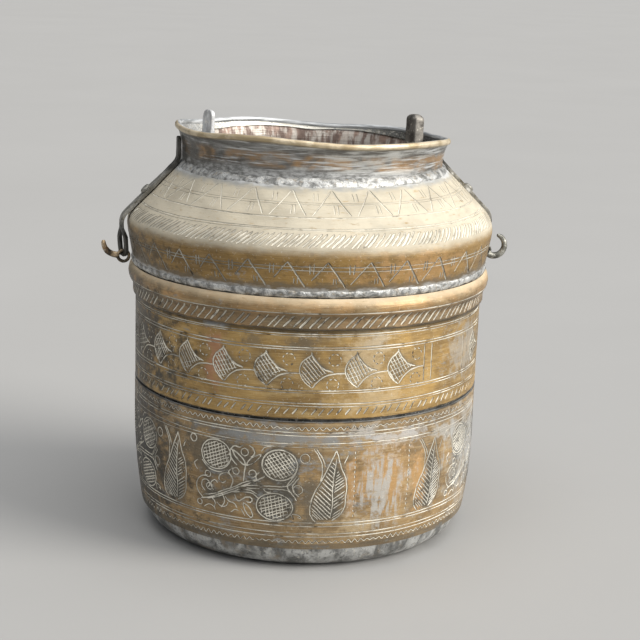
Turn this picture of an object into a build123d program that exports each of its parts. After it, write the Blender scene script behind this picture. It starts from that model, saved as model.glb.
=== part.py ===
from build123d import *
from math import atan2, cos, radians, sin, sqrt
import os

# Stacking food carrier of sheet brass and tinned copper: two straight tiers and a shouldered
# top vessel. +Z is up, the front faces -Y, and the origin is the centre of the resting face.
# All lengths are millimetres.

# Driving dimensions
SHEET = 1.5                 # thickness of the tier and shoulder sheet
TIER_RADIUS = 114.2         # outside radius of the bottom tier where it runs straight
MIDDLE_RADIUS = 114.0       # outside radius of the middle tier
FOOT_RADIUS = 89.0          # flat disc that the carrier rests on
PAN_RADIUS = 107.7          # outside radius of the base pan at its seam
BASE_SEAM = 15.0            # height where the brass wall overlaps the base pan
PAN_FLANGE = 6.0            # height of the pan's flange inside the wall
TAPER_TOP = 74.0            # height where the bottom tier stops widening
BOTTOM_TOP = 99.2           # top edge of the bottom tier
MIDDLE_BOTTOM = 100.4       # lower edge of the middle tier
MIDDLE_TOP = 170.0          # top edge of the middle tier, inside the skirt
SKIRT_BOTTOM = 156.5        # lower edge of the skirt of the top vessel
SKIRT_RADIUS = 115.9        # outside radius of the skirt
SKIRT_SHEET = 1.45
SKIRT_STRAIGHT = 7.0        # height of the straight part of the skirt below the roll
ROLL_RADIUS = 118.9         # largest radius of the half-round roll above the skirt
WAIST = 176.4               # height of the soldered waist
WAIST_RADIUS = 115.7        # outside radius of the shoulder shell at the waist
BULGE_RADIUS = 121.0        # where the two slopes of the shoulder would meet
BULGE_HEIGHT = 206.9
BULGE_FILLET = 16.0
MOUTH_RADIUS = 88.0         # hole at the top of the shoulder
NECK_SHEET = 1.4
NECK_RADIUS = 85.0          # outside radius of the straight part of the neck
NECK_BOTTOM = 233.5
FLARE_START = 246.0         # height where the neck starts to flare
FLARE_END = 259.0
RIM_RADIUS = 88.2           # centre line of the rolled lip
RIM_HEIGHT = 260.6
RIM_ROLL = 1.75             # radius of the rolled lip
NECK_LEAN = 3.0             # degrees that the neck leans, high side at the front left
NECK_PIVOT = 240.0
LEAN_DIRECTION = -38.0      # degrees from the front, positive towards +X
COLLAR_RISE = 8.0           # how far the locating collar stands above the bottom tier
COLLAR_DEPTH = 11.0         # how far the collar reaches down inside the bottom tier
COLLAR_STEP = 0.6           # height of the collar's step below the top edge
FLOOR_FLANGE = 10.0         # height of the upturned edge of the two upper floors
SOLDER_GAP = 0.1            # play that solder fills between two sheets
SEAT_GAP = 0.1              # play between a tier and what it rests on
FIT_GAP = 0.4               # radial play of a tier on its seat
STRAP_WIDTH = 9.0
STRAP_SHEET = 2.4
STRAP_TURN = 13.0           # degrees that the pair of straps is turned from the X axis
STRAP_RADIUS = 122.6        # centre line of the hanging part of a strap
HOOK_HEIGHT = 181.0         # pivot of the hooks
HOOK_WIRE = 1.8             # radius of the hook's shank
RING_RADIUS = 3.6           # centre line of the ring that hangs a hook on its strap
RING_WIRE = 1.15
SLOT_WIDTH = 4.4
SLOT_HEIGHT = 17.0
BRIDGE = 3.2                # height of the strap's end below its slot
LEFT_STRAP_TOP = 258.5      # where the straps end, close under the lip on either side
RIGHT_STRAP_TOP = 248.5
LUG_TOP = 274.4
RIVET_RADIUS = 1.5
RIVET_HEAD = 3.6
RIVET_CIRCLE = 106.0        # distance of a rivet from the upright axis

os.makedirs("parts", exist_ok=True)


def at_front_angle(shape, angle):
    """Turn a shape drawn in the +X half plane to an angle from the front, positive to +X."""
    return shape.rotate(Axis.Z, angle - 90)


def turned(face):
    """Revolve a face drawn as (radius, height) about the upright axis."""
    return revolve(Plane.XZ * face, Axis.Z, 360)


def ring(*corners):
    """Ring whose section is a polygon of (radius, height) corners."""
    return turned(make_face(Polyline(*corners, close=True)))


def shell(path, thickness):
    """Sheet of revolution whose outer surface follows a path drawn upwards."""
    return turned(make_face(offset(path, amount=thickness, side=Side.LEFT, closed=True)))


def joined(*edges):
    return Wire(list(edges))


def save(shape, node):
    shape.label = node
    export_step(shape, "parts/" + node + ".step")


# Bottom tier -----------------------------------------------------------------------------

def make_base_pan():
    """Tinned pan: flat floor, round corner and an upright flange inside the brass wall."""
    middle = (FOOT_RADIUS + 0.72 * (PAN_RADIUS - FOOT_RADIUS), 0.33 * BASE_SEAM)
    floor = Line((0.001, 0), (FOOT_RADIUS, 0))
    corner = ThreePointArc((FOOT_RADIUS, 0), middle, (PAN_RADIUS, BASE_SEAM))
    flange = Line((PAN_RADIUS, BASE_SEAM), (PAN_RADIUS, BASE_SEAM + PAN_FLANGE))
    pan = shell(joined(floor, corner, flange), SHEET)
    return pan + Pos(0, 0, SHEET / 2) * Cylinder(1, SHEET)


def make_bottom_wall():
    """Brass wall, drawn in towards the base by a wide arc and straight above it."""
    foot = PAN_RADIUS + SHEET + SOLDER_GAP
    draw_in = TIER_RADIUS - foot
    rise = TAPER_TOP - BASE_SEAM
    arc_radius = (draw_in ** 2 + rise ** 2) / (2 * draw_in)
    halfway = TIER_RADIUS - arc_radius + sqrt(arc_radius ** 2 - (rise / 2) ** 2)
    taper = ThreePointArc(
        (foot, BASE_SEAM),
        (halfway, BASE_SEAM + rise / 2),
        (TIER_RADIUS, TAPER_TOP),
    )
    straight = Line((TIER_RADIUS, TAPER_TOP), (TIER_RADIUS, BOTTOM_TOP))
    return shell(joined(taper, straight), SHEET)


def make_bottom_collar():
    """Locating collar soldered inside the mouth, which the middle tier slips over."""
    wall = TIER_RADIUS - SHEET
    seat = MIDDLE_RADIUS - SHEET - FIT_GAP
    inner = seat - SHEET
    low = BOTTOM_TOP - COLLAR_DEPTH
    step = BOTTOM_TOP - COLLAR_STEP
    top = BOTTOM_TOP + COLLAR_RISE
    return ring((inner, low), (wall, low), (wall, step), (seat, step), (seat, top), (inner, top))


# Middle tier -----------------------------------------------------------------------------

def make_middle_wall():
    inner = MIDDLE_RADIUS - SHEET
    return ring(
        (inner, MIDDLE_BOTTOM),
        (MIDDLE_RADIUS, MIDDLE_BOTTOM),
        (MIDDLE_RADIUS, MIDDLE_TOP),
        (inner, MIDDLE_TOP),
    )


def make_middle_floor():
    """Floor dish with its flange turned up inside the wall; it rests on the collar."""
    low = BOTTOM_TOP + COLLAR_RISE + SEAT_GAP
    outer = MIDDLE_RADIUS - SHEET
    disc = Pos(0, 0, low + SHEET / 2) * Cylinder(outer, SHEET)
    flange = ring(
        (outer - SHEET, low),
        (outer, low),
        (outer, low + FLOOR_FLANGE),
        (outer - SHEET, low + FLOOR_FLANGE),
    )
    return disc + flange


# Top vessel ------------------------------------------------------------------------------

def make_skirt_ring():
    """Skirt that covers the top of the middle tier, with a half-round roll above it."""
    roll_foot = (SKIRT_RADIUS, SKIRT_BOTTOM + SKIRT_STRAIGHT)
    roll_top = (SKIRT_RADIUS, WAIST - SEAT_GAP)
    crown = (ROLL_RADIUS, (roll_foot[1] + roll_top[1]) / 2)
    skirt = Line((SKIRT_RADIUS, SKIRT_BOTTOM), roll_foot)
    roll = ThreePointArc(roll_foot, crown, roll_top)
    return shell(joined(skirt, roll), SKIRT_SHEET)


def make_top_floor():
    """Floor of the top vessel: a disc on the rim of the middle tier with a raised flange."""
    low = MIDDLE_TOP + SEAT_GAP
    outer = WAIST_RADIUS - SHEET - SOLDER_GAP
    disc = Pos(0, 0, low + SHEET / 2) * Cylinder(outer, SHEET)
    flange = ring(
        (outer - SHEET, low),
        (outer, low),
        (outer, low + FLOOR_FLANGE),
        (outer - SHEET, low + FLOOR_FLANGE),
    )
    return disc + flange


def make_shoulder_shell():
    """Shell that leans out from the waist, turns over the bulge and closes to the mouth."""
    cone_top = (MOUTH_RADIUS, BULGE_HEIGHT + BULGE_RADIUS - MOUTH_RADIUS)
    path = FilletPolyline(
        (WAIST_RADIUS, WAIST),
        (BULGE_RADIUS, BULGE_HEIGHT),
        cone_top,
        radius=BULGE_FILLET,
    )
    return shell(path, SHEET)


def make_waist_solder():
    """Bead of solder that closes the joint between the roll and the shoulder shell."""
    lean = (BULGE_RADIUS - WAIST_RADIUS) / (BULGE_HEIGHT - WAIST)
    low = WAIST + 0.2
    high = WAIST + 5.2
    face = WAIST_RADIUS + 0.08
    return ring(
        (face + lean * (low - WAIST), low),
        (face + 1.3, low + 0.5),
        (face + 1.7, low + 2.3),
        (face + 1.4, low + 4.2),
        (face + lean * (high - WAIST), high),
    )


def make_neck_solder(around):
    """Fillet of solder round the foot of the neck, moulded round the pieces it holds."""
    slope = BULGE_RADIUS + BULGE_HEIGHT + 0.35
    inner = NECK_RADIUS - 0.2
    bead = ring(
        (inner, NECK_PIVOT - 1.5),
        (MOUTH_RADIUS - 1.5, NECK_PIVOT - 1.5),
        (MOUTH_RADIUS - 0.4, slope - MOUTH_RADIUS + 0.4),
        (MOUTH_RADIUS + 2.8, slope - MOUTH_RADIUS - 2.8),
        (MOUTH_RADIUS + 2.2, NECK_PIVOT - 0.5),
        (MOUTH_RADIUS + 0.2, NECK_PIVOT + 2.0),
        (NECK_RADIUS + 1.2, NECK_PIVOT + 4.2),
        (inner, NECK_PIVOT + 4.6),
    )
    for cut in around:
        bead -= cut
    return bead


# The flare of the neck is an arc that starts upright and ends at the rolled lip.
FLARE_RISE = FLARE_END - FLARE_START
FLARE_REACH = RIM_RADIUS + 0.3 - NECK_RADIUS
FLARE_ARC = (FLARE_REACH ** 2 + FLARE_RISE ** 2) / (2 * FLARE_REACH)
FLARE_CENTRE = NECK_RADIUS + FLARE_ARC


def flare_point(depth, height):
    """Point of the flare at a depth inside its outer surface, at a height above its start."""
    reach = FLARE_ARC + depth
    angle = atan2(height, sqrt(FLARE_ARC ** 2 - height ** 2))
    return (FLARE_CENTRE - reach * cos(angle), FLARE_START + reach * sin(angle))


def leaned(shape):
    """Lean a piece of the neck towards its low side, about a level axis at the shoulder."""
    high = radians(LEAN_DIRECTION)
    level = Axis((0, 0, NECK_PIVOT), (-cos(high), -sin(high), 0))
    return shape.rotate(level, NECK_LEAN)


def make_neck_collar():
    """Neck tube that flares to a rolled lip."""
    tube = Line((NECK_RADIUS, NECK_BOTTOM), (NECK_RADIUS, FLARE_START))
    flare = ThreePointArc(flare_point(0, 0), flare_point(0, FLARE_RISE / 2), flare_point(0, FLARE_RISE))
    neck = shell(joined(tube, flare), NECK_SHEET)
    lip = Pos(0, 0, RIM_HEIGHT) * Torus(RIM_RADIUS, RIM_ROLL)
    return leaned(neck + lip)


def make_mouth_band():
    """Thin tinned strip lining the flare, with its lower edge showing inside the mouth."""
    low, middle, high = 4.0, 7.5, 11.5
    back = NECK_SHEET
    face = NECK_SHEET + 0.8
    outer = ThreePointArc(flare_point(back, low), flare_point(back, middle), flare_point(back, high))
    inner = ThreePointArc(flare_point(face, high), flare_point(face, middle), flare_point(face, low))
    top = Line(flare_point(back, high), flare_point(face, high))
    bottom = Line(flare_point(face, low), flare_point(back, low))
    return leaned(turned(make_face(joined(outer, top, inner, bottom))))


def make_lug(angle, width, depth, foot):
    """Upright iron lug soldered inside the neck, with its top corners rounded off."""
    outer = NECK_RADIUS - NECK_SHEET - 1.1
    height = LUG_TOP - foot
    bar = Box(depth, width, height, align=(Align.MAX, Align.CENTER, Align.MIN))
    bar = fillet(bar.edges().group_by(Axis.Z)[-1].filter_by(Axis.X), width * 0.36)
    bar = chamfer(bar.edges().group_by(Axis.Z)[-1].filter_by(Axis.Y), depth * 0.25)
    return leaned(at_front_angle(Pos(outer, 0, foot) * bar, angle))


# Straps and hooks ------------------------------------------------------------------------

STRAP_SLOPE = BULGE_RADIUS + BULGE_HEIGHT + (0.7 + STRAP_SHEET / 2) * sqrt(2)


def make_strap(angle, top):
    """Iron strap from under the lip, over the shoulder and down to a slotted eye."""
    neck_line = NECK_RADIUS + 3.6
    end = HOOK_HEIGHT - BRIDGE / 2 + STRAP_SHEET / 2
    path = FilletPolyline(
        (neck_line, top),
        (neck_line, STRAP_SLOPE - neck_line),
        (STRAP_RADIUS, STRAP_SLOPE - STRAP_RADIUS),
        (STRAP_RADIUS, end),
        radius=[7, 10],
    )
    section = Plane.XZ * make_face(offset(path, amount=STRAP_SHEET / 2, side=Side.BOTH, closed=True))
    strap = extrude(section, amount=STRAP_WIDTH / 2, both=True)
    slot_low = HOOK_HEIGHT + BRIDGE / 2
    slot_high = slot_low + SLOT_HEIGHT
    across = Plane.YZ.offset(STRAP_RADIUS)
    slot = extrude(
        across * Pos(0, (slot_low + slot_high) / 2) * SlotOverall(
            slot_high - slot_low, SLOT_WIDTH, rotation=90),
        amount=4,
        both=True,
    )
    strap -= slot
    strap -= rivet_shank()
    return at_front_angle(strap, angle)


# Rivets stand square to the cone of the shoulder, a third of the way down it.
RIVET_PLACE = (RIVET_CIRCLE, BULGE_RADIUS + BULGE_HEIGHT - RIVET_CIRCLE)


def rivet_frame(lift):
    """Place on the shoulder cone, raised square to it, with +Z pointing outwards."""
    reach = RIVET_PLACE[0] + lift / sqrt(2)
    height = RIVET_PLACE[1] + lift / sqrt(2)
    return Pos(reach, 0, height) * Rot(0, 45, 0)


def rivet_shank():
    return rivet_frame(0.5) * Cylinder(RIVET_RADIUS, 14)


def make_rivet(angle):
    """Round-headed rivet with a small burr inside the shoulder."""
    face = 0.7 + STRAP_SHEET
    shank = rivet_frame(face / 2 - SHEET / 2) * Cylinder(RIVET_RADIUS, face + SHEET + 0.4)
    head = rivet_frame(face + 0.03) * Cylinder(
        RIVET_HEAD, 2.0, align=(Align.CENTER, Align.CENTER, Align.MIN))
    head = fillet(head.edges().sort_by(Axis((0, 0, 0), (1, 0, 1)))[-1], 1.6)
    burr = rivet_frame(-SHEET - 0.15) * Cylinder(
        RIVET_HEAD * 0.7, 0.9, align=(Align.CENTER, Align.CENTER, Align.MAX))
    return at_front_angle(head + shank + burr, angle)


def make_hook(angle, rest_swing, shank, curl_radius, curl):
    """Hook whose ring hangs in the eye of the strap and whose point curls back over.

    The shank leaves the ring level and is then swung to its resting angle."""
    ring_part = Rot(90, 0, 0) * Torus(RING_RADIUS, RING_WIRE)
    root = RING_RADIUS - 0.4
    straight = Line((root, 0), (shank, 0))
    turn = radians(curl)
    curve = ThreePointArc(
        (shank, 0),
        (shank + curl_radius * sin(turn / 2), curl_radius - curl_radius * cos(turn / 2)),
        (shank + curl_radius * sin(turn), curl_radius - curl_radius * cos(turn)),
    )
    wire = Plane.XZ * joined(straight, curve)
    body = sweep(Plane(origin=(root, 0, 0), z_dir=(1, 0, 0)) * Circle(HOOK_WIRE), path=wire)
    tip = (shank + curl_radius * sin(turn), 0, curl_radius - curl_radius * cos(turn))
    hook = ring_part + body + Pos(*tip) * Sphere(HOOK_WIRE)
    hook = Pos(STRAP_RADIUS, 0, HOOK_HEIGHT) * (Rot(0, -rest_swing, 0) * hook)
    return at_front_angle(hook, angle)


LEFT = -90 + STRAP_TURN
RIGHT = 90 + STRAP_TURN

save(make_base_pan(), "base_pan")
save(make_bottom_wall(), "bottom_wall")
save(make_bottom_collar(), "bottom_collar")
save(make_middle_wall(), "middle_wall")
save(make_middle_floor(), "middle_floor")
save(make_skirt_ring(), "skirt_ring")
save(make_top_floor(), "top_floor")
save(make_waist_solder(), "waist_solder")

neck = make_neck_collar()
save(neck, "neck_collar")
save(make_mouth_band(), "mouth_band")

shoulder = make_shoulder_shell()
for side in (LEFT, RIGHT):
    shoulder -= at_front_angle(rivet_shank(), side)
save(shoulder, "shoulder_shell")

left_strap = make_strap(LEFT, LEFT_STRAP_TOP)
right_strap = make_strap(RIGHT, RIGHT_STRAP_TOP)
save(left_strap, "left_strap")
save(right_strap, "right_strap")
save(make_neck_solder([neck, left_strap, right_strap]), "neck_solder")
save(Compound(children=[make_rivet(LEFT), make_rivet(RIGHT)]), "strap_rivets")
save(make_hook(LEFT, 3, 5.0, 8.0, 95), "left_hook")
save(make_hook(RIGHT, -32, 3.7, 7.2, 150), "right_hook")
save(make_lug(-51.5, 9.0, 3.2, 244), "left_lug")
save(make_lug(121.5, 10.5, 7.0, 242), "right_lug")
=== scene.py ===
"""Looks of a stacking food carrier: two engraved brass tiers under a shouldered top vessel.

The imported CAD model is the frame. Each engraved wall is rebuilt as a closed sheet whose lines are
cut into the mesh as V-shaped grooves. Lengths in this file are millimetres until a mesh is made.
"""

import math
import random

import bmesh
import bpy
import numpy as np
from mathutils import Matrix, Vector, noise
from mathutils.geometry import delaunay_2d_cdt


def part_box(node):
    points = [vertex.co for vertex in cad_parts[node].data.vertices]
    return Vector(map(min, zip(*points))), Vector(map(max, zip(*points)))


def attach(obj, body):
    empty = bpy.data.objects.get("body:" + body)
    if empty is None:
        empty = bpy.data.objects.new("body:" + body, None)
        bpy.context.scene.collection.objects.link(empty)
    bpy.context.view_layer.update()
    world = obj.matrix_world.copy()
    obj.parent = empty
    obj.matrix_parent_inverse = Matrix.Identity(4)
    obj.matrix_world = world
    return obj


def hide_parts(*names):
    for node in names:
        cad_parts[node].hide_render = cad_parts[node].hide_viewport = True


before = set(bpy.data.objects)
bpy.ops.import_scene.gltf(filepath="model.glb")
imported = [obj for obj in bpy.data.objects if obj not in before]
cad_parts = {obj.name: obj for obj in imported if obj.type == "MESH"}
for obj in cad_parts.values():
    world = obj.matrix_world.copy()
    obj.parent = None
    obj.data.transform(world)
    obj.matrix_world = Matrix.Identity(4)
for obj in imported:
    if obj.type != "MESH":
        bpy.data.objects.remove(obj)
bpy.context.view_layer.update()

MM = 0.001
TURN = 2 * math.pi
REFERENCE = 114.2               # radius at which arcs along the engraving are measured
ROUND = TURN * REFERENCE        # one full turn, as an arc
SHEET = 1.5                     # thickness of the walls
COLUMNS = 288                   # divisions of an edge of a wall
WALL_FACE = 114                 # radius at which the patches of the walls lie
SHOULDER_FACE = 118             # the same for the skirt and the shoulder
CORNER = (121.0, 206.9)         # (radius, height) where the lines of the shoulder would meet
LEFT, RIGHT = math.radians(-77), math.radians(103)      # the two straps, from the front towards +X
HANG_RADIUS, HANG_HEIGHT = 122.6, 181.0                 # where the hooks hang in their eyes


def low(node):
    """Lowest height of a CAD piece."""
    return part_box(node)[0].z / MM


def high(node):
    """Greatest height of a CAD piece."""
    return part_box(node)[1].z / MM


def reach(node):
    """How far a CAD piece reaches out from the axis."""
    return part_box(node)[1].x / MM


def around(count):
    """Angles evenly spaced over one full turn."""
    return np.linspace(0, TURN, count, endpoint=False)


def run_along(line):
    """Length of a line of flat points, up to each of them."""
    return np.concatenate([[0], np.cumsum(np.hypot(*np.diff(line, axis=0).T))])


def at_run(line, run, places):
    """Points at given lengths along a line."""
    return np.stack([np.interp(places, run, line[:, k]) for k in range(2)], axis=1)


def evenly(line, step):
    """Points at even steps along a line."""
    run = run_along(line)
    return at_run(line, run, np.linspace(0, run[-1], max(3, int(run[-1] / step) + 1)))


def unit(rows):
    """Each row brought to length 1."""
    return rows / np.maximum(np.linalg.norm(rows, axis=1), 1e-12)[:, None]


def boxy(value, power):
    """A sine or cosine drawn towards 1 and -1, which makes a round outline boxy."""
    return math.copysign(abs(value) ** power, value)


# Uneven surfaces -------------------------------------------------------------------------

def ripple(seed, turn, height, waves=7, finest=8):
    """Uneven field of about -1 to 1 that closes on itself after a full turn."""
    rng = random.Random(seed)
    tallest = 0.09
    total = 0.0
    for _ in range(waves):
        lobes = rng.randint(1, finest)
        upward = rng.uniform(-tallest, tallest)
        total = total + np.sin(lobes * turn + upward * height + rng.uniform(0, TURN))
    return total / math.sqrt(waves)


def on_turn(turn, radius, height):
    """Points at angles from the front, positive to +X."""
    return np.stack([radius * np.sin(turn), -radius * np.cos(turn), height + 0 * turn], axis=-1)


class Sheet:
    """A turned sheet. Its outer line is drawn upwards as (radius, height) points."""

    def __init__(self, line, seed, dent=0.25, thickness=SHEET):
        points = np.array(line, float)
        self.run = run_along(points)
        self.radius, self.height = points.T
        slope = unit(np.gradient(points, self.run, axis=0))
        self.out_r, self.out_z = slope[:, 1], -slope[:, 0]
        self.seed, self.dent, self.thickness = seed, dent, thickness
        self.length = self.run[-1]

    def run_at(self, height):
        """Length along the outer line at a height."""
        return np.interp(height, self.height, self.run)

    def place(self, arc, run, depth=0.0):
        """Points on the outer face, or below it by a depth."""
        turn = np.asarray(arc) / REFERENCE - math.pi
        lift = self.dent * (ripple(self.seed, turn, run) - 1) - depth
        radius = np.interp(run, self.run, self.radius) + lift * np.interp(run, self.run, self.out_r)
        height = np.interp(run, self.run, self.height) + lift * np.interp(run, self.run, self.out_z)
        return on_turn(turn, radius, height)

    def normals(self, arc, run):
        """Directions straight out of the uncut face."""
        step = 0.5
        along = self.place(arc + step, run) - self.place(arc - step, run)
        above, below = np.minimum(run + step, self.length), np.maximum(run - step, 0)
        return unit(np.cross(along, self.place(arc, above) - self.place(arc, below)))


# Engraving -------------------------------------------------------------------------------

def smooth_line(points, step):
    """Evenly spaced points on a smooth curve through the given ones."""
    p = np.array(points, float)
    if len(p) == 2:
        count = max(3, int(np.hypot(*(p[1] - p[0])) / step) + 1)
        return p[0] + np.linspace(0, 1, count)[:, None] * (p[1] - p[0])
    closed = np.hypot(*(p[0] - p[-1])) < 1e-6
    before = p[-2] if closed else 2 * p[0] - p[1]
    after = p[1] if closed else 2 * p[-1] - p[-2]
    q = np.vstack([before, p, after])
    fine = []
    for a, b, c, d in zip(q, q[1:], q[2:], q[3:]):
        for u in np.linspace(0, 1, 12, endpoint=False):
            fine.append(0.5 * (2 * b + (c - a) * u + (2 * a - 5 * b + 4 * c - d) * u * u
                               + (3 * b - a - 3 * c + d) * u ** 3))
    return evenly(np.array(fine + [p[-1]]), step)


def blunted(line, half):
    """Run a cut out to nothing over a short length at each of its ends."""
    near, width = [], []
    for end, beside, full in ((line[0], line[1], half[0]), (line[-1], line[-2], half[-1])):
        length = np.hypot(*(beside - end))
        back = min(0.9 * full, 0.4 * length)
        near.append(end + (beside - end) * back / length)
        width.append(0.9 * back)
    line = np.vstack([line[:1], near[:1], line[1:-1], near[1:], line[-1:]])
    return line, np.concatenate([[0, width[0]], half[1:-1], [width[1], 0]])


def oval_points(arc, height, across, tall, start=0.0):
    """Points round an oval, the last on the first."""
    return [(arc + across * math.cos(a), height + tall * math.sin(a))
            for a in np.linspace(0, TURN, 13) + start]


class Graver:
    """Collects cuts. A cut is a centre line of (arc, height) points, with a half width at each."""

    def __init__(self, seed, bold=1.0, steep=0.85):
        self.rng = random.Random(seed)
        self.bold, self.steep = bold, steep
        self.cuts = []

    def cut(self, points, width=0.9, step=1.6, shake=0.12):
        """One cut along a smooth line, with a little shake of the hand."""
        line = smooth_line(points, step)
        closed = len(line) > 3 and np.hypot(*(line[0] - line[-1])) < 1e-6
        for k in range(len(line)):
            line[k] += (self.rng.uniform(-shake, shake), self.rng.uniform(-shake, shake))
        half = np.full(len(line), self.bold * width / 2) * self.rng.uniform(0.88, 1.12)
        if closed:
            line[-1] = line[0]
        else:
            line, half = blunted(line, half)
        self.cuts.append((line, half))

    def dashes(self, points, mark, gap, width):
        """A broken line of short marks."""
        line = smooth_line(points, 0.4)
        run = run_along(line)
        start = 0.0
        while start + mark <= run[-1]:
            self.cut(at_run(line, run, [start, start + mark]), width)
            start += mark + gap * self.rng.uniform(0.8, 1.2)

    def hoop(self, height, width=0.8, waver=0.25):
        """A line all the way round, which closes on itself."""
        arcs = np.linspace(0, ROUND, COLUMNS + 1)
        wave = waver * ripple(self.rng.random(), arcs / REFERENCE, 0, finest=6)
        half = width / 2 * (1 + 0.25 * ripple(self.rng.random(), arcs / REFERENCE, 0, finest=40))
        self.cuts.append((np.stack([arcs, height + wave], axis=1), half))

    def hoops(self, *pairs):
        """Lines all the way round, each given as its height and width."""
        for height, width in pairs:
            self.hoop(height, width)

    def wavy_hoop(self, height, rise, count, half=0.4):
        """A wriggle-work line all the way round: a small even wave."""
        arcs = np.linspace(0, ROUND, count * 6 + 1)
        drift = 0.35 * ripple(self.rng.random(), arcs / REFERENCE, 0, finest=7)
        size = rise * (1 + 0.3 * ripple(self.rng.random(), arcs / REFERENCE, 0, finest=30))
        wave = size * np.sin(arcs / ROUND * TURN * count)
        self.cuts.append((np.stack([arcs, height + drift + wave], axis=1), np.full(len(arcs), half)))

    def slants(self, low_height, high_height, lean, count, width, uneven=0.35):
        """Slanted cuts all the way round, like the strands of a rope."""
        for k in range(count):
            arc = (k + self.rng.uniform(-0.16, 0.16)) * ROUND / count
            foot = low_height + self.rng.uniform(-uneven, uneven)
            top = high_height + self.rng.uniform(-uneven, uneven)
            self.cut([(arc - lean / 2, foot), (arc + lean / 2, top)], width * self.rng.uniform(0.8, 1.2))

    def oval(self, arc, height, across, tall, width, start=0.0):
        """A closed cut round an oval."""
        self.cut(oval_points(arc, height, across, tall, start), width, step=1.2, shake=0.08)

    def hatch(self, inside, box, angle, spacing, width, fill=1.0):
        """Parallel cuts at an angle, kept where inside(arc, height) holds."""
        centre = np.array([(box[0] + box[2]) / 2, (box[1] + box[3]) / 2])
        size = math.hypot(box[2] - box[0], box[3] - box[1]) / 2
        along = np.array([math.cos(angle), math.sin(angle)])
        across = np.array([-along[1], along[0]])
        for offset in np.arange(-size, size, spacing):
            shift = offset + self.rng.uniform(-0.15, 0.15) * spacing
            line = centre + across * shift + np.linspace(-size, size, 90)[:, None] * along
            kept = [bool(inside(*p)) for p in line]
            begin = None
            for k in range(len(line) + 1):
                now = k < len(line) and kept[k]
                if now and begin is None:
                    begin = k
                if not now and begin is not None:
                    if k - begin > 3 and self.rng.random() < fill:
                        self.cut([line[begin], line[k - 1]], width)
                    begin = None


def wrapped(line):
    """Split a line at the seam, so that each part lies within one turn. Also gives the crossings."""
    parts, crossings = [], []
    first = math.floor(line[:, 0].min() / ROUND)
    last = math.floor((line[:, 0].max() - 1e-9) / ROUND)
    for lap in range(first, last + 1):
        shifted = line - (lap * ROUND, 0)
        part = []
        for a, b in zip(shifted, shifted[1:]):
            ends = []
            for edge in (0.0, ROUND):
                if (a[0] - edge) * (b[0] - edge) < 0:
                    share = (edge - a[0]) / (b[0] - a[0])
                    ends.append((share, edge))
            points = [(0.0, a)] + [(u, np.array([e, a[1] + u * (b[1] - a[1])])) for u, e in sorted(ends)]
            for _, p in points:
                if -1e-9 <= p[0] <= ROUND + 1e-9:
                    part.append(p)
                elif part:
                    parts.append(part)
                    part = []
        if -1e-9 <= shifted[-1][0] <= ROUND + 1e-9:
            part.append(shifted[-1])
        if part:
            parts.append(part)
    cleaned = []
    for part in parts:
        part = np.array(part)
        part[:, 0] = np.clip(part[:, 0], 0, ROUND)
        for p in part:
            if p[0] < 1e-7 or p[0] > ROUND - 1e-7:
                p[0] = 0.0 if p[0] < 1 else ROUND
                p[1] = round(p[1], 5)
                crossings.append(p[1])
        if len(part) > 1:
            cleaned.append(part)
    return cleaned, crossings


def sides_of(line, half):
    """The two edges of a cut. They meet at an end where its half width is nothing."""
    slope = np.gradient(line, axis=0)
    if np.hypot(*(line[0] - line[-1])) < 1e-6:
        slope[0] = slope[-1] = line[1] - line[-2]
    slope = unit(slope)
    across = np.stack([-slope[:, 1], slope[:, 0]], axis=1) * half[:, None]
    return line + across, line - across


def groove_depths(points, lines, slope):
    """How deep each point lies below the face: grooves are V-shaped, so depth follows width."""
    cell = 3.0
    order = {}
    for k, (i, j) in enumerate(np.floor(points / cell).astype(int)):
        order.setdefault((i, j), []).append(k)
    order = {key: np.array(value) for key, value in order.items()}
    depth = np.zeros(len(points))
    for line, half in lines:
        for a, b, ha, hb in zip(line, line[1:], half, half[1:]):
            grow = max(ha, hb)
            if grow <= 0:
                continue
            low_cell = np.floor((np.minimum(a, b) - grow) / cell).astype(int)
            high_cell = np.floor((np.maximum(a, b) + grow) / cell).astype(int)
            for i in range(low_cell[0], high_cell[0] + 1):
                for j in range(low_cell[1], high_cell[1] + 1):
                    near = order.get((i, j))
                    if near is None:
                        continue
                    to = points[near] - a
                    d = b - a
                    share = np.clip(to @ d / max(d @ d, 1e-12), 0, 1)
                    away = np.linalg.norm(to - share[:, None] * d, axis=1)
                    here = (ha + share * (hb - ha) - away) * slope
                    depth[near] = np.maximum(depth[near], here)
    return depth


def crowding(points, lines, length):
    """How densely the face is cut around each point, from 0 to 1."""
    spread, full = 3.5, 0.32
    wide, tall = round(ROUND), round(length) + 1

    def cells(places):
        column, row = np.floor(places).astype(int).T
        return column % wide, np.clip(row, 0, tall - 1)

    field = np.zeros((wide, tall))
    for line, half in lines:
        np.add.at(field, cells(line), np.minimum(half, 0.5) * 2)
    far = int(3 * spread)
    weights = np.exp(-0.5 * (np.arange(-far, far + 1) / spread) ** 2)
    weights /= weights.sum()
    field = sum(w * np.roll(field, k - far, axis=0) for k, w in enumerate(weights))
    padded = np.pad(field, ((0, 0), (far, far)), "edge")
    field = sum(w * padded[:, k:k + tall] for k, w in enumerate(weights))
    return np.clip(field[cells(points)] / full, 0, 1)


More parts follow.
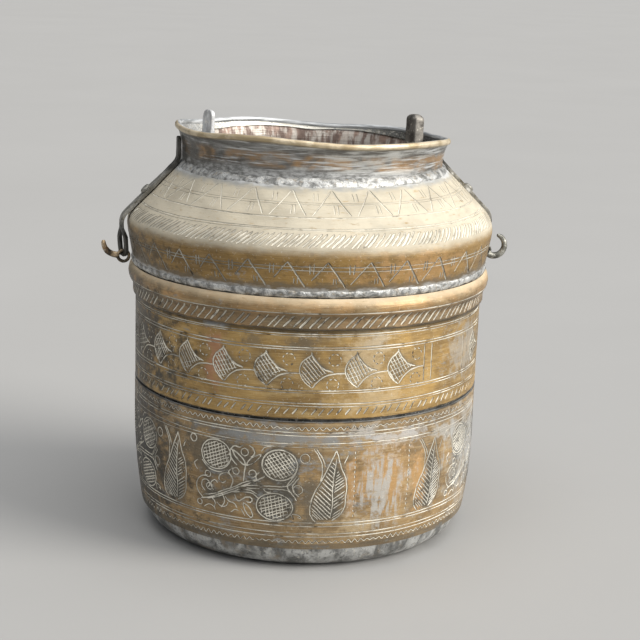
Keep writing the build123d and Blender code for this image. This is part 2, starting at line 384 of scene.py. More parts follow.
def face_of_cuts(sheet, graver, spacing, margin):
    """Points of the outer face in (arc, run), its triangles, and how deep and how crowded it is cut."""
    points, edges, drawn = [], [], []

    def chain(line):
        start = len(points)
        points.extend(tuple(p) for p in line)
        edges.extend((k, k + 1) for k in range(start, len(points) - 1))

    centres, crossings = [], set()
    for line, half in graver.cuts:
        run = np.clip(sheet.run_at(line[:, 1]), 2 * margin, sheet.length - 2 * margin)
        line = np.stack([line[:, 0] + ROUND / 2, run], axis=1)
        drawn.append((line, half))
        for side in (line, *sides_of(line, half)):
            parts, found = wrapped(side)
            crossings.update(found)
            for part in parts:
                chain(part)
        for lap in (-1, 0, 1):
            shifted = line + (lap * ROUND, 0)
            if shifted[:, 0].max() > -1 and shifted[:, 0].min() < ROUND + 1:
                centres.append((shifted, half))
    arcs = np.linspace(0, ROUND, COLUMNS + 1)
    for edge in (margin, sheet.length - margin):
        chain(np.stack([arcs, np.full(len(arcs), edge)], axis=1))
    for run, row in filling_rows(margin, sheet.length - margin, spacing):
        crossings.add(run)
        points.extend(row)
    for run in sorted(crossings):
        points.extend([(0.0, run), (ROUND, run)])
    found = delaunay_2d_cdt([Vector(p) for p in points], edges, [], 0, 1e-5)
    flat = np.array([tuple(v) for v in found[0]])
    faces = np.array([f for f in found[2] if len(f) == 3])
    depth = groove_depths(flat, centres, graver.steep)
    crowd = crowding(flat, drawn, sheet.length)
    kept, faces = np.unique(seam_joined(flat, faces, depth), return_inverse=True)
    flat, depth, crowd = flat[kept], depth[kept], crowd[kept]
    return flat, wound_alike(flat, faces.reshape(-1, 3)), depth, crowd


def filling_rows(start, end, spacing):
    """Points that fill the face between the cuts, in rows that are offset from each other."""
    rows, columns = max(2, round((end - start) / spacing)), round(ROUND / spacing)
    for k in range(1, rows):
        run = round(start + (end - start) * k / rows, 5)
        yield run, [(ROUND * (j + k % 2 / 2) / columns, run) for j in range(1, columns)]


def seam_joined(flat, faces, depth):
    """Triangles that share their points at the seam. Each such point keeps the deeper cut."""
    joined = np.arange(len(flat))
    at_start = {round(flat[k, 1], 4): k for k in np.where(flat[:, 0] < 1e-3)[0]}
    for k in np.where(flat[:, 0] > ROUND - 1e-3)[0]:
        joined[k] = at_start.get(round(flat[k, 1], 4), k)
        depth[joined[k]] = max(depth[k], depth[joined[k]])
    return joined[faces]


def wound_alike(flat, faces):
    """Triangles without slivers, all wound the same way."""
    a, b, c = (flat[faces[:, k]] for k in range(3))
    ab, ac = b - a, c - a
    for side in (ab, ac):
        side[:, 0] -= np.round(side[:, 0] / ROUND) * ROUND
    area = ab[:, 0] * ac[:, 1] - ab[:, 1] * ac[:, 0]
    faces, area = faces[np.abs(area) > 1e-7], area[np.abs(area) > 1e-7]
    faces[area < 0] = faces[area < 0][:, ::-1]
    return faces


def edge_ring(flat, run):
    """The points of the face on one of its edges, in order round the turn."""
    found = np.where(np.abs(flat[:, 1] - run) < 1e-3)[0]
    return found[np.argsort(flat[found, 0])]


def engraved_wall(name, sheet, graver):
    """A closed wall: cut outer face, plain inner face, and rounded rims between them."""
    margin, spacing, rows_inside = 0.45, 3.6, 12
    flat, faces, depth, crowd = face_of_cuts(sheet, graver, spacing, margin)
    outer = sheet.place(flat[:, 0], flat[:, 1], depth)
    bottom, top = edge_ring(flat, margin), edge_ring(flat, sheet.length - margin)
    count = len(bottom)
    arcs = np.arange(count) * ROUND / count
    rings = [sheet.place(arcs, np.full(count, sheet.length), sheet.thickness / 2)]
    for run in np.linspace(sheet.length - margin, margin, rows_inside):
        rings.append(sheet.place(arcs, np.full(count, run), sheet.thickness))
    rings.append(sheet.place(arcs, np.zeros(count), sheet.thickness / 2))
    start = len(outer)
    order = [top] + [start + k * count + np.arange(count) for k in range(len(rings))] + [bottom]
    quads = np.concatenate([np.stack([a, np.roll(a, -1), np.roll(b, -1), b], axis=1)
                            for a, b in zip(order, order[1:])])
    verts = np.concatenate([outer, *rings])
    plain_rest = np.zeros(len(verts) - start)
    marks = {"cut": [*np.clip(depth / (0.45 * graver.steep), 0, 1), *plain_rest],
             "crowd": [*crowd, *plain_rest], "inside": [*np.zeros(start), *(plain_rest + 1)]}
    wall = make_mesh(name, verts, [*faces.tolist(), *quads.tolist()], marks)
    shade_cuts(wall, outer, faces, depth, sheet.normals(flat[:, 0], flat[:, 1]))
    return wall


def shade_cuts(wall, outer, faces, depth, plain):
    """Smooth shading on the face, and flat shading on the flanks of the cuts."""
    given = np.zeros((len(wall.data.loops), 3))
    in_groove = depth[faces].max(axis=1) > 1e-3
    a, b, c = (outer[faces[:, k]] for k in range(3))
    steep = unit(np.cross(b - a, c - a))
    for corner in range(3):
        rows = np.arange(len(faces)) * 3 + corner
        given[rows] = np.where(in_groove[:, None], steep, plain[faces[:, corner]])
    wall.data.normals_split_custom_set(given.tolist())


def make_mesh(name, verts, faces, marks=None):
    """A smooth-shaded object from points in millimetres, with named values at its points."""
    mesh = bpy.data.meshes.new(name)
    mesh.from_pydata((np.asarray(verts, float) * MM).tolist(), [], faces)
    mesh.polygons.foreach_set("use_smooth", [True] * len(mesh.polygons))
    for mark, values in (marks or {}).items():
        mesh.attributes.new(mark, "FLOAT", "POINT").data.foreach_set("value", np.asarray(values, np.float32))
    mesh.update()
    return in_scene(name, mesh)


def in_scene(name, data):
    """A new object of the scene."""
    made = bpy.data.objects.new(name, data)
    bpy.context.scene.collection.objects.link(made)
    return made


# Ornament of the bottom tier -------------------------------------------------------------

PLAIN_START, PLAIN_END = 32.6, 70.4     # the one panel without ornament, where the tier is most worn

LEAF_LEFT = [(-7.3, 34.5), (-10.5, 38.4), (-11.3, 44.5), (-8.9, 53.6), (-4.8, 61.2), (-0.4, 71), (4.3, 81.2)]
LEAF_RIGHT = [(2.5, 35.5), (7.7, 39), (10.5, 44.5), (10.9, 50.6), (11.3, 58), (10.3, 64), (7.7, 69.5),
              (4.3, 81.2)]
LEAF_VEIN = [(1.6, 37), (2.8, 46), (2.4, 55), (3.2, 65.7), (4.5, 76)]
SEPALS = [[(-9.7, 82.5), (-6, 76.3), (-4.4, 71.8), (-4.4, 65.7), (-5.2, 61.5)],
          [(-8.2, 82.5), (-3.6, 75), (-2.2, 70.5)], [(11.7, 78), (9.3, 72.5)]]

# Free lines of a flower panel: (width, points), with the panel from -78 to 0.
SPRAYS = [
    (1.0, [(-68, 41.5), (-60, 44), (-52, 48), (-45, 51.5), (-38, 55), (-30, 59), (-23, 63)]),
    (0.9, [(-66, 44.5), (-58, 46.5), (-50, 50.5), (-43, 53.8), (-36, 57.8), (-27, 60.8)]),
    (0.9, [(-63, 42.4), (-55, 45.2), (-47, 49.2), (-40, 52.3), (-33, 53), (-28, 50.8)]),
    (0.9, [(-45, 50), (-38, 51.2), (-31, 51), (-27, 47.8)]),
    (0.9, [(-38, 55), (-30, 56.5), (-20, 57), (-10, 57.5), (-6, 60.5), (-3, 65)]),
    (0.8, [(-35, 54), (-26, 54.8), (-16, 55.3), (-9, 55), (-5, 52), (-3, 48)]),
    (0.9, [(-60, 44), (-57, 41), (-58, 37)]),
    (0.8, [(-52, 48), (-50, 43), (-53, 38)]),
    (0.9, [(-62, 58), (-68, 56), (-71, 51), (-70, 46), (-66, 42)]),
    (0.9, [(-46, 52), (-44, 58), (-47, 62), (-52, 61), (-54, 57.5), (-51, 55), (-48.5, 57)]),
    (1.0, [(-43, 49), (-42, 46), (-40, 44.5), (-37, 47), (-33, 48.5), (-31, 46.5), (-33, 44.5),
           (-35.5, 45.5)]),
    (1.0, [(-37, 44), (-36.5, 40), (-34, 36), (-31.5, 34.6), (-31, 37), (-33, 41), (-37, 44)]),
    (0.8, [(-46, 36), (-43, 38.5), (-40, 38)]),
    (0.8, [(-39, 40), (-37, 37), (-36, 35)]),
    (0.9, [(-4, 66), (-6.5, 62), (-9, 58), (-7, 54), (-3.5, 50)]),
    (0.9, [(-1.5, 64), (-4, 60.5), (-6, 57.5), (-4.5, 54), (-1.5, 51)]),
    (0.8, [(-7, 40), (-5.5, 37.5), (-5, 35)]),
    (0.8, [(-6, 39.5), (-2, 39), (0.5, 36.5), (-3, 37.5)]),
    (1.0, [(-37, 58), (-36.5, 63), (-35.5, 69)]),
    (1.0, [(-35.5, 69), (-39, 70.5), (-42.5, 74), (-44.5, 77.5), (-41.5, 76.5), (-37.5, 73), (-35.5, 69)]),
    (1.0, [(-35, 69), (-31.5, 70.5), (-28, 73.5), (-25.5, 76.8), (-28.5, 76), (-32.5, 73.5), (-35, 69)]),
    (1.0, [(-41, 68), (-45, 72), (-46, 77), (-43, 80.5), (-39.5, 80), (-37, 82)]),
    (1.0, [(-34, 82), (-31, 80.5), (-30, 77), (-32.5, 73.8)]),
    (0.9, [(-44, 66), (-47, 63), (-45, 60)]),
    (0.9, [(-64, 47), (-67, 50), (-66, 54), (-62.5, 55), (-60.5, 52), (-62.5, 50)]),
    (0.9, [(-58, 48.5), (-60, 53), (-57, 56), (-54.5, 54)]),
    (0.9, [(-50, 46.5), (-47, 43.5), (-43, 42.5), (-41.5, 39.5)]),
    (0.8, [(-56, 41.5), (-52.5, 39), (-49, 40), (-47.5, 43)]),
    (0.9, [(-28, 59.8), (-29, 63), (-26.5, 65.5)]),
    (0.9, [(-24, 55), (-22, 52.8), (-19, 53.3)]),
    (0.8, [(-70, 60), (-72.5, 64), (-69.5, 67)]),
    (0.8, [(-66, 36), (-62, 38.8), (-58.5, 38), (-57, 35.5)]),
    (0.8, [(-26, 79), (-23, 82), (-19, 82.5)]),
    (0.8, [(-50, 66), (-47, 69), (-48, 72)]),
]
# Fruits: arc, height, half width, half height, angle of the hatching. Berries: arc, height, radius.
FRUITS = [(-56, 73, 10.5, 9.5, 0.42), (-14, 71, 11.0, 9.8, -0.9), (-17, 43.5, 11.5, 9.0, 0.35)]
BERRIES = [(-42, 64.3, 2.2), (-31, 64, 2.4), (-62, 59, 2.1), (-61, 51, 2.2), (-69, 39, 1.9),
           (1.5, 76, 2.9), (-2.5, 55.6, 3.0), (-73, 80.5, 2.5), (-36.3, 77.3, 2.4)]


def moved(points, arc):
    """Points shifted along the wall."""
    return [(x + arc, z) for x, z in points]


def leaf(graver, arc):
    """Pointed leaf: two margins, sepals beside the tip, and cuts slanting down to the vein."""
    for line in (LEAF_LEFT, LEAF_RIGHT, LEAF_VEIN, *SEPALS):
        graver.cut(moved(line, arc), 1.0 if line is LEAF_LEFT else 0.85)
    (left_x, left_z), (right_x, right_z) = zip(*LEAF_LEFT), zip(*LEAF_RIGHT)
    vein_x, vein_z = zip(*LEAF_VEIN)
    for height in np.arange(40, 79, 2.1):
        vein = np.interp(height, vein_z, vein_x)
        wide = vein - np.interp(height, left_z, left_x) - 1.4
        share = min(1, (height - 36) / wide) if wide > 1.5 else 0
        if share:
            start = arc + vein - 0.6 - wide
            graver.cut([(start, height), (start + share * wide, height - share * wide)], 0.8)
        wide = np.interp(height, right_z, right_x) - vein - 1.4
        if wide > 1.5 and graver.rng.random() < 0.9:
            start = arc + vein + 0.6
            graver.cut([(start, height - 5), (start + wide, height - 5 + 0.7 * wide)], 0.75)


def fruit(graver, arc, height, across, tall, tilt):
    """Pomegranate: an oval filled with crossed cuts."""
    graver.oval(arc, height, across, tall, 1.05)

    def inside(x, z):
        return ((x - arc) / across) ** 2 + ((z - height) / tall) ** 2 < 0.83

    box = (arc - across, height - tall, arc + across, height + tall)
    graver.hatch(inside, box, tilt, 1.95, 0.85)
    graver.hatch(inside, box, tilt + 1.35, 2.3, 0.65)


def flower_panel(graver, arc):
    """Three pomegranates among sprays and berries, left of an arc."""
    for x, z, across, tall, tilt in FRUITS:
        fruit(graver, arc + x, z, across, tall, tilt)
    for width, points in SPRAYS:
        graver.cut(moved(points, arc), width)
    for x, z, size in BERRIES:
        graver.oval(arc + x, z, size, size, 0.8, start=graver.rng.uniform(0, TURN))
    graver.cut(moved([(-66.5, 68), (-61, 63), (-54, 61.8), (-49, 63.5)], arc), 0.8)


def bottom_ornament():
    """Flower panels and leaves between lines and wavy lines, but for one plain panel."""
    graver = Graver(11, 1.25, 0.7)
    waves, panels = 167, 5
    graver.hoops((92.3, 0.9), (90.4, 1.0), (85.4, 0.8), (83.2, 0.6))
    graver.hoops((33.4, 0.9), (31.7, 0.9), (26.3, 0.8), (24.0, 1.0))
    graver.wavy_hoop(95.4, 1.05, waves)
    graver.wavy_hoop(20.6, 1.0, waves)
    leaf(graver, PLAIN_END + 18)
    for border in (PLAIN_START, PLAIN_END):
        graver.dashes([(border, 37), (border, 83)], 2.2, 1.0, 0.9)
    first = PLAIN_END + 109
    pitch = (ROUND - first) / panels
    for arc in (0, *(first + k * pitch for k in range(panels))):
        flower_panel(graver, arc)
        leaf(graver, arc + 16.5)
    return graver


# Ornament of the middle tier -------------------------------------------------------------

BELL_STEP = 27.8


def bell(graver, arc):
    """Bell-shaped flower lying on its side, whose point runs on as a stem into the next."""
    graver.cut(moved([(-1, 143), (-1, 141), (-6.3, 136.5), (-8, 130.8), (-5.2, 124.8), (0, 120.4)], arc), 1.1)
    graver.cut(moved([(-1, 141.6), (2.6, 136.4), (7, 132.4), (12.8, 130.4)], arc), 1.15)
    graver.cut(moved([(0, 120.4), (3.5, 124.8), (8, 128), (13, 129.3), (19.9, 129.6)], arc), 1.05)

    def inside(x, z):
        u = (z - 131) / 9.6
        if abs(u) >= 0.93:
            return False
        return -7.1 * math.sqrt(1 - u * u) < x - arc < 11.0 * (1 - abs(u)) ** 1.35 - 0.6

    box = (arc - 8, 121, arc + 12, 141)
    graver.hatch(inside, box, -1.0 + graver.rng.uniform(-0.12, 0.12), 2.0, 0.95)
    graver.hatch(inside, box, 0.3, 2.9, 0.55, fill=0.8)


def punched_ring(graver, arc, height):
    """A small ring of separate punch marks."""
    size = 3.8
    graver.dashes(oval_points(arc, height, size, size), 2.3, 0.8, 1.05)


def middle_ornament():
    """Two runs of bells, front and back, with borders between them, over a rope."""
    graver = Graver(23, 1.12, 0.8)
    bells = 11
    graver.hoops((153.6, 0.9), (152.3, 0.7), (145.6, 0.9), (143.9, 0.9))
    graver.hoops((118.9, 0.9), (117.3, 0.7), (110.6, 0.8), (109.0, 0.7))
    graver.slants(103.4, 107.9, 3.6, 131, 1.15)
    for side in range(2):
        start = 60 - side * ROUND / 2
        for k in range(bells):
            bell(graver, start - k * BELL_STEP)
            punched_ring(graver, start - k * BELL_STEP + 13.3, 138)
            punched_ring(graver, start - k * BELL_STEP + 12.4, 122.4)
        for border in (19.5, 26, 61, 67.5):
            graver.cut([(start + border, 119.8), (start + border, 143.2)], 0.85)
    return graver


# Ornament of the top vessel --------------------------------------------------------------

def skirt_ornament():
    """Rope of slanted cuts under a line."""
    graver = Graver(31)
    graver.slants(157.8, 165.4, 7.2, 139, 1.5)
    graver.hoop(167.0, 1.1, waver=0.15)
    return graver


def ticks(graver, arc, height, tall, apart):
    """Two short upright cuts side by side."""
    for side in (-1, 1):
        lean = graver.rng.uniform(-0.5, 0.5)
        graver.cut([(arc + side * apart / 2, height), (arc + side * apart / 2 + lean, height + tall)], 0.75)


def shoulder_ornament():
    """Zigzags with ticks below and above the bulge, and a rope between lines."""
    graver = Graver(47, 1.4, 0.75)
    below, above = 30, 24
    graver.hoops((195.1, 0.75), (193.0, 0.85))
    for k in range(below):
        arc = k * ROUND / below - 12 + graver.rng.uniform(-1.2, 1.2)
        foot = arc + 10.5 + graver.rng.uniform(-1, 1)
        graver.cut([(arc, 198.6), (foot, 182.3)], 1.05)
        back = arc - graver.rng.uniform(6, 12)
        graver.cut([(arc, 198.2), (back, 198.2 - (arc - back) * 1.25)], 0.8)
        ticks(graver, arc + 4.5, 184.5, 4.0, 2.0)
        ticks(graver, arc + 14.0, 190.5, 6.5, 2.2)
    graver.slants(207.0, 214.4, 8.8, 205, 1.2, uneven=0.5)
    graver.hoops((216.9, 0.9), (216.0, 0.6), (222.7, 0.9), (229.0, 0.55), (230.4, 0.5))
    for k in range(above):
        arc = k * ROUND / above - 14 + graver.rng.uniform(-1, 1)
        foot = arc + 11.5 + graver.rng.uniform(-1, 1)
        graver.cut([(arc, 237.0), (foot, 223.4)], 1.0)
        graver.cut([(foot + 4.0, 223.4), (arc + 28.5, 236.6)], 0.9)
        ticks(graver, arc + 1.8, 224.2, 5.0, 2.6)
        ticks(graver, arc + 17.0, 231.0, 4.5, 3.0)
    return graver


# Outer lines of the turned sheets, as the CAD has them -------------------------------------

def arc_between(start, middle, end, count):
    """Points on the circle arc through three (radius, height) points."""
    (ax, ay), (bx, by), (cx, cy) = start, middle, end
    d = 2 * (ax * (by - cy) + bx * (cy - ay) + cx * (ay - by))
    a2, b2, c2 = ax * ax + ay * ay, bx * bx + by * by, cx * cx + cy * cy
    ux = (a2 * (by - cy) + b2 * (cy - ay) + c2 * (ay - by)) / d
    uy = (a2 * (cx - bx) + b2 * (ax - cx) + c2 * (bx - ax)) / d
    angles = np.unwrap([math.atan2(y - uy, x - ux) for x, y in (start, middle, end)])
    size = math.hypot(ax - ux, ay - uy)
    swept = np.linspace(angles[0], angles[2], count)
    return [(ux + size * math.cos(a), uy + size * math.sin(a)) for a in swept]


def bottom_line():
    """Drawn in at the foot by a wide arc, and straight above."""
    foot, top, full = low("bottom_wall"), high("bottom_wall"), reach("bottom_wall")
    taper = 59.0
    taper_top = foot + taper
    draw_in = full - (reach("base_pan") + SHEET + 0.1)
    bend = (draw_in ** 2 + taper ** 2) / (2 * draw_in)
    heights = [*np.linspace(foot, taper_top, 60), *np.linspace(taper_top, top, 26)[1:]]
    return [(full - bend + math.sqrt(bend ** 2 - min(z - taper_top, 0) ** 2), z) for z in heights]


def middle_line():
    """Straight all the way."""
    return [(reach("middle_wall"), z) for z in np.linspace(low("middle_wall"), high("middle_wall"), 50)]


def skirt_line():
    """Straight below, with a half-round roll above it."""
    foot, top, crown = low("skirt_ring"), high("skirt_ring"), reach("skirt_ring")
    roll_out, roll_foot = 3, foot + 7
    face = crown - roll_out
    roll = arc_between((face, roll_foot), (crown, (roll_foot + top) / 2), (face, top), 40)
    return [(face, z) for z in np.linspace(foot, roll_foot, 12)][:-1] + roll


def shoulder_line():
    """Leans out from the waist, turns over the bulge and closes on a cone to the mouth."""
    waist, mouth = low("shoulder_shell"), high("shoulder_shell")
    corner = Vector(CORNER)
    start = Vector((115.7, waist))
    end = Vector((corner.x + corner.y - mouth, mouth))
    bend = 16.0
    down, up = (start - corner).normalized(), (end - corner).normalized()
    half = down.angle(up) / 2
    tangent = bend / math.tan(half)
    centre = corner + (down + up).normalized() * bend / math.sin(half)
    a, b = corner + down * tangent, corner + up * tangent
    middle = centre + (corner - centre).normalized() * bend
    curve = arc_between(tuple(a), tuple(middle), tuple(b), 30)
    lower = [tuple(start.lerp(a, u)) for u in np.linspace(0, 1, 24)]
    upper = [tuple(b.lerp(end, u)) for u in np.linspace(0, 1, 40)]
    return lower[:-1] + curve + upper[1:]


# Turned and bent pieces ------------------------------------------------------------------

def lumps(points, size, seed):
    """Fine unevenness of about -1 to 1 at each point."""
    shift = Vector((seed * 7.1, seed * 3.3, seed * 5.7))
    flat = np.asarray(points).reshape(-1, 3)
    found = [noise.noise(Vector(p) / size + shift) for p in flat]
    return np.array(found).reshape(np.asarray(points).shape[:-1])


def skin(rows, closed):
    """Points and faces over rings of points. An open skin is closed by caps at both ends."""
    count = len(rows[0])
    verts = np.concatenate(rows)
    faces = []
    for k in range(len(rows) if closed else len(rows) - 1):
        a = k * count + np.arange(count)
        b = (k + 1) % len(rows) * count + np.arange(count)
        faces.extend(np.stack([a, b, np.roll(b, -1), np.roll(a, -1)], axis=1).tolist())
    if not closed:
        verts = np.concatenate([verts, [rows[0].mean(axis=0), rows[-1].mean(axis=0)]])
        tip = len(verts) - 2
        start = (len(rows) - 1) * count
        faces.extend([tip, k, (k + 1) % count] for k in range(count))
        faces.extend([tip + 1, start + (k + 1) % count, start + k] for k in range(count))
    return verts, faces


def turned(name, rows, closed=False, marks=None):
    """A piece skinned over rows of points round the axis."""
    piece = make_mesh(name, *skin(rows, closed), marks)
    face_outwards(piece)
    return piece


def face_outwards(piece):
    """Turn all faces of a closed mesh to look outwards."""
    work = bmesh.new()
    work.from_mesh(piece.data)
    bmesh.ops.recalc_face_normals(work, faces=work.faces)
    work.to_mesh(piece.data)
    work.free()


def base_pan():
    """Dented tinned pan that the carrier stands on, with its flange inside the brass wall."""
    full, top = reach("base_pan"), high("base_pan")
    foot, seam = 89.0, low("bottom_wall")
    middle = (foot + 0.72 * (full - foot), 0.33 * seam)
    corner = arc_between((foot, 0), middle, (full, seam), 22)
    outer = [(r, 0) for r in (8, 25, 45, 65, 80, 86)] + corner + [(full, (seam + top) / 2), (full, top)]
    inner = [(r - SHEET, max(z, SHEET)) for r, z in outer[::-1]]
    inner[0] = (full - SHEET, top)
    turns = around(300)
    rows = []
    for r, z in outer + inner:
        row = on_turn(turns, r, z)
        loose = math.sin(min(max((z - 0.3) / (seam - 1.5), 0), 1) * math.pi)
        bumps = 0.5 * lumps(row, 26, 3) + 0.35 * lumps(row, 9, 4) - 0.35
        push = np.maximum(bumps, -1.1) * 1.2 * loose
        rows.append(on_turn(turns, r + push, np.maximum(z + 0.3 * push, 0)))
    return turned("base_dish", rows)


def bead(name, centre_r, centre_z, across, tall, slope, seed):
    """Irregular bead of solder. Its section is an oval whose size changes all the time."""
    turns = around(480)
    rows = []
    for a in around(14):
        middle = on_turn(turns, centre_r, centre_z)
        swell = 1 + 0.5 * lumps(middle, 12, seed) + 0.3 * lumps(middle, 2.6, seed + 1)
        stretch = 1 + 0.5 * lumps(middle, 17, seed + 2) + 0.35 * lumps(middle, 4.0, seed + 3)
        along, out = tall * math.sin(a) * stretch, across * math.cos(a) * swell
        r = centre_r + out * math.cos(slope) - along * math.sin(slope)
        z = centre_z + along * math.cos(slope) + out * math.sin(slope)
        row = on_turn(turns, r, z)
        rows.append(on_turn(turns, r + 0.25 * lumps(row, 1.7, seed + 4), z))
    return turned(name, rows, closed=True)


# The neck leans: its high side is at the front left.
NECK_RADIUS = 85.0
NECK_SHEET = 1.4                # thickness of the neck
NECK_FACE = 86                  # radius at which the patches of the neck lie
NECK_PIVOT = 240.0
FLARE_START = 246.0
FLARE_END = 259.0
RIM_HEIGHT = 260.6
RIM_RADIUS = 88.0
RIM_ROLL = 1.9
HIGH_SIDE = math.radians(-38)
LEAN_AXIS = Vector((-math.cos(HIGH_SIDE), -math.sin(HIGH_SIDE), 0))
LEAN = np.array(Matrix.Rotation(math.radians(3.0), 3, LEAN_AXIS))


def neck_radius(height):
    """Outside radius of the upright neck: straight, then a flare that starts upright."""
    rise = FLARE_END - FLARE_START
    flare = RIM_RADIUS + 0.3 - NECK_RADIUS
    bend = (flare ** 2 + rise ** 2) / (2 * flare)
    above = np.clip(height - FLARE_START, 0, rise)
    return NECK_RADIUS + bend - np.sqrt(bend ** 2 - above ** 2)


def tipped(points):
    """Points of the upright neck, tipped to how the neck stands."""
    pivot = (0, 0, NECK_PIVOT)
    return (points - pivot) @ LEAN.T + pivot


def leaned(points):
    """Points of the upright neck, uneven towards the lip, tipped to how the neck stands."""
    points = np.asarray(points, float)
    turn = np.arctan2(points[:, 0], -points[:, 1])
    share = np.clip((points[:, 2] - NECK_PIVOT) / 20, 0, 1) ** 2
    points[:, 2] += share * 0.9 * ripple(5, turn, 0, waves=6, finest=7)
    points[:, :2] *= (1 + share * 0.004 * ripple(6, turn, 0, waves=5, finest=5))[:, None]
    return tipped(points)


def neck_collar():
    """Neck tube that flares to a rolled lip, with turning marks and shallow dents."""
    turns = around(288)
    foot = 233.6
    outer = [(float(neck_radius(z)), z) for z in np.linspace(foot, FLARE_END, 40)]
    angles = np.linspace(-1.2, 4.1, 18)
    lip = [(RIM_RADIUS + RIM_ROLL * math.cos(a), RIM_HEIGHT + RIM_ROLL * math.sin(a)) for a in angles]
    inner = [(float(neck_radius(z)) - NECK_SHEET, z) for z in np.linspace(FLARE_END - 0.6, foot, 26)]
    rows, inside, rise = [], [], []
    for k, (r, z) in enumerate(outer + lip + inner):
        row = on_turn(turns, r, z)
        on_lip = len(outer) <= k < len(outer) + len(lip)
        dent = 0.28 * lumps(row, 22, 8) + 0.12 * lumps(row * (0.25, 0.25, 2.4), 6, 9)
        if on_lip:
            dent = 0.35 * lumps(row, 6, 10)
        rows.append(leaned(on_turn(turns, r + dent, z + (0.25 * lumps(row, 9, 12) if on_lip else 0))))
        lined = 0.5 if k >= len(outer) + 9 else 0.0
        inside.extend([1.0 if k > len(outer) + len(lip) and z < 258.4 else lined] * len(turns))
        rise.extend([(z - foot) / (RIM_HEIGHT - foot)] * len(turns))
    return turned("neck", rows, closed=True, marks={"inside": inside, "rise": rise})


def mouth_band():
    """Tinned strip lining the flare; its lower edge is cut unevenly."""
    turns = around(288)
    back = 0.5 - 0.5 * np.cos(turns)
    edge = FLARE_START + 4.0 + 8.3 * back ** 2.5 + 0.5 * ripple(14, turns, 0, waves=5, finest=9)
    edge += 0.22 * ripple(15, turns, 0, finest=40)
    top = FLARE_START + 13.4
    rows = []
    for depth, shares in ((1.45, np.linspace(0, 1, 8)), (2.2, np.linspace(1, 0, 8))):
        for share in shares:
            height = edge + share * (top - edge)
            bump = 0.12 * lumps(on_turn(turns, 85, height), 5, 16)
            rows.append(leaned(on_turn(turns, neck_radius(height) - depth + bump, height)))
    return turned("mouth_lining", rows, closed=True)


def faced(points, turn):
    """Points drawn outwards along +X, moved to an angle from the front."""
    return np.asarray(points) @ np.array(Matrix.Rotation(turn - math.pi / 2, 3, "Z")).T


def strap(name, turn, top, seed, twist=0.0):
    """Forged strap: a flat bar bent over the shoulder. The slotted eye at its lower end is twisted."""
    neck_r, bulge_r, hang_r = 87.4, 124.2, 122.3
    above_cone = sum(CORNER) + 1.9 * math.sqrt(2)       # radius plus height, along the cone
    corners = [(neck_r, top), (neck_r, above_cone - neck_r), (bulge_r, above_cone - bulge_r), (hang_r, 180.6)]
    path = rounded_path(corners, 8.0, 1.0)
    run = run_along(path)
    length = run[-1]
    slot_low, slot_high = length - 19.0, length - 2.0

    def half_width(u):
        swell = 0.9 * np.exp(-((u - length * 0.42) / 6.5) ** 2) + 0.6 * np.exp(-((u - length + 10) / 9) ** 2)
        return 3.9 + swell + 0.25 * ripple(seed, u / 18, 0)

    outline = [(u, -half_width(u) * edge_round(u, length)) for u in np.arange(0, length + 0.01, 1.0)]
    outline += [(u, half_width(u) * edge_round(u, length)) for u in np.arange(length, -0.01, -1.0)]
    middle = (slot_low + slot_high) / 2
    slot = [(middle + (slot_high - slot_low) / 2 * boxy(math.cos(a), 0.6), 2.1 * boxy(math.sin(a), 0.6))
            for a in around(43)]

    def place(points, lift):
        along, across = np.array(points).T
        twisted = math.radians(twist) * np.clip((along - slot_low) / 6, 0, 1)
        lifted = lift * np.cos(twisted) - across * np.sin(twisted)
        across = across * np.cos(twisted) + lift * np.sin(twisted)
        outward = np.gradient(path, run, axis=0)[:, ::-1] * (-1, 1)
        r, z = (at_run(path, run, along) + lifted[:, None] * at_run(outward, run, along)).T
        return faced(np.stack([r, across, z], axis=1), turn)

    return bent_plate(name, outline, slot, place, thickness=2.2, seed=seed)


def edge_round(u, length):
    """Rounds off the two ends of a strap's outline."""
    near = min(u, length - u)
    return math.sqrt(1 - (1 - min(near / 3.0, 1)) ** 2) * 0.75 + 0.25


def rounded_path(corners, bend, step):
    """Points along a run of corners, each rounded by a short curve."""
    points = [np.array(corners[0], float)]
    for a, b, c in zip(corners, corners[1:], corners[2:]):
        a, b, c = (np.array(p, float) for p in (a, b, c))
        size = min(bend, np.linalg.norm(b - a) * 0.48, np.linalg.norm(c - b) * 0.48)
        start = b + (a - b) / np.linalg.norm(a - b) * size * 0.6
        stop = b + (c - b) / np.linalg.norm(c - b) * size * 0.6
        points.extend((1 - u) ** 2 * start + 2 * u * (1 - u) * b + u * u * stop for u in np.linspace(0, 1, 9))
    points.append(np.array(corners[-1], float))
    return evenly(np.array(points), step)


def within(point, loop):
    """Whether a point lies inside a closed loop."""
    x, y = point
    found = False
    for (ax, ay), (bx, by) in zip(loop, loop[1:] + loop[:1]):
        if (ay > y) != (by > y) and x < (bx - ax) * (y - ay) / (by - ay) + ax:
            found = not found
    return found


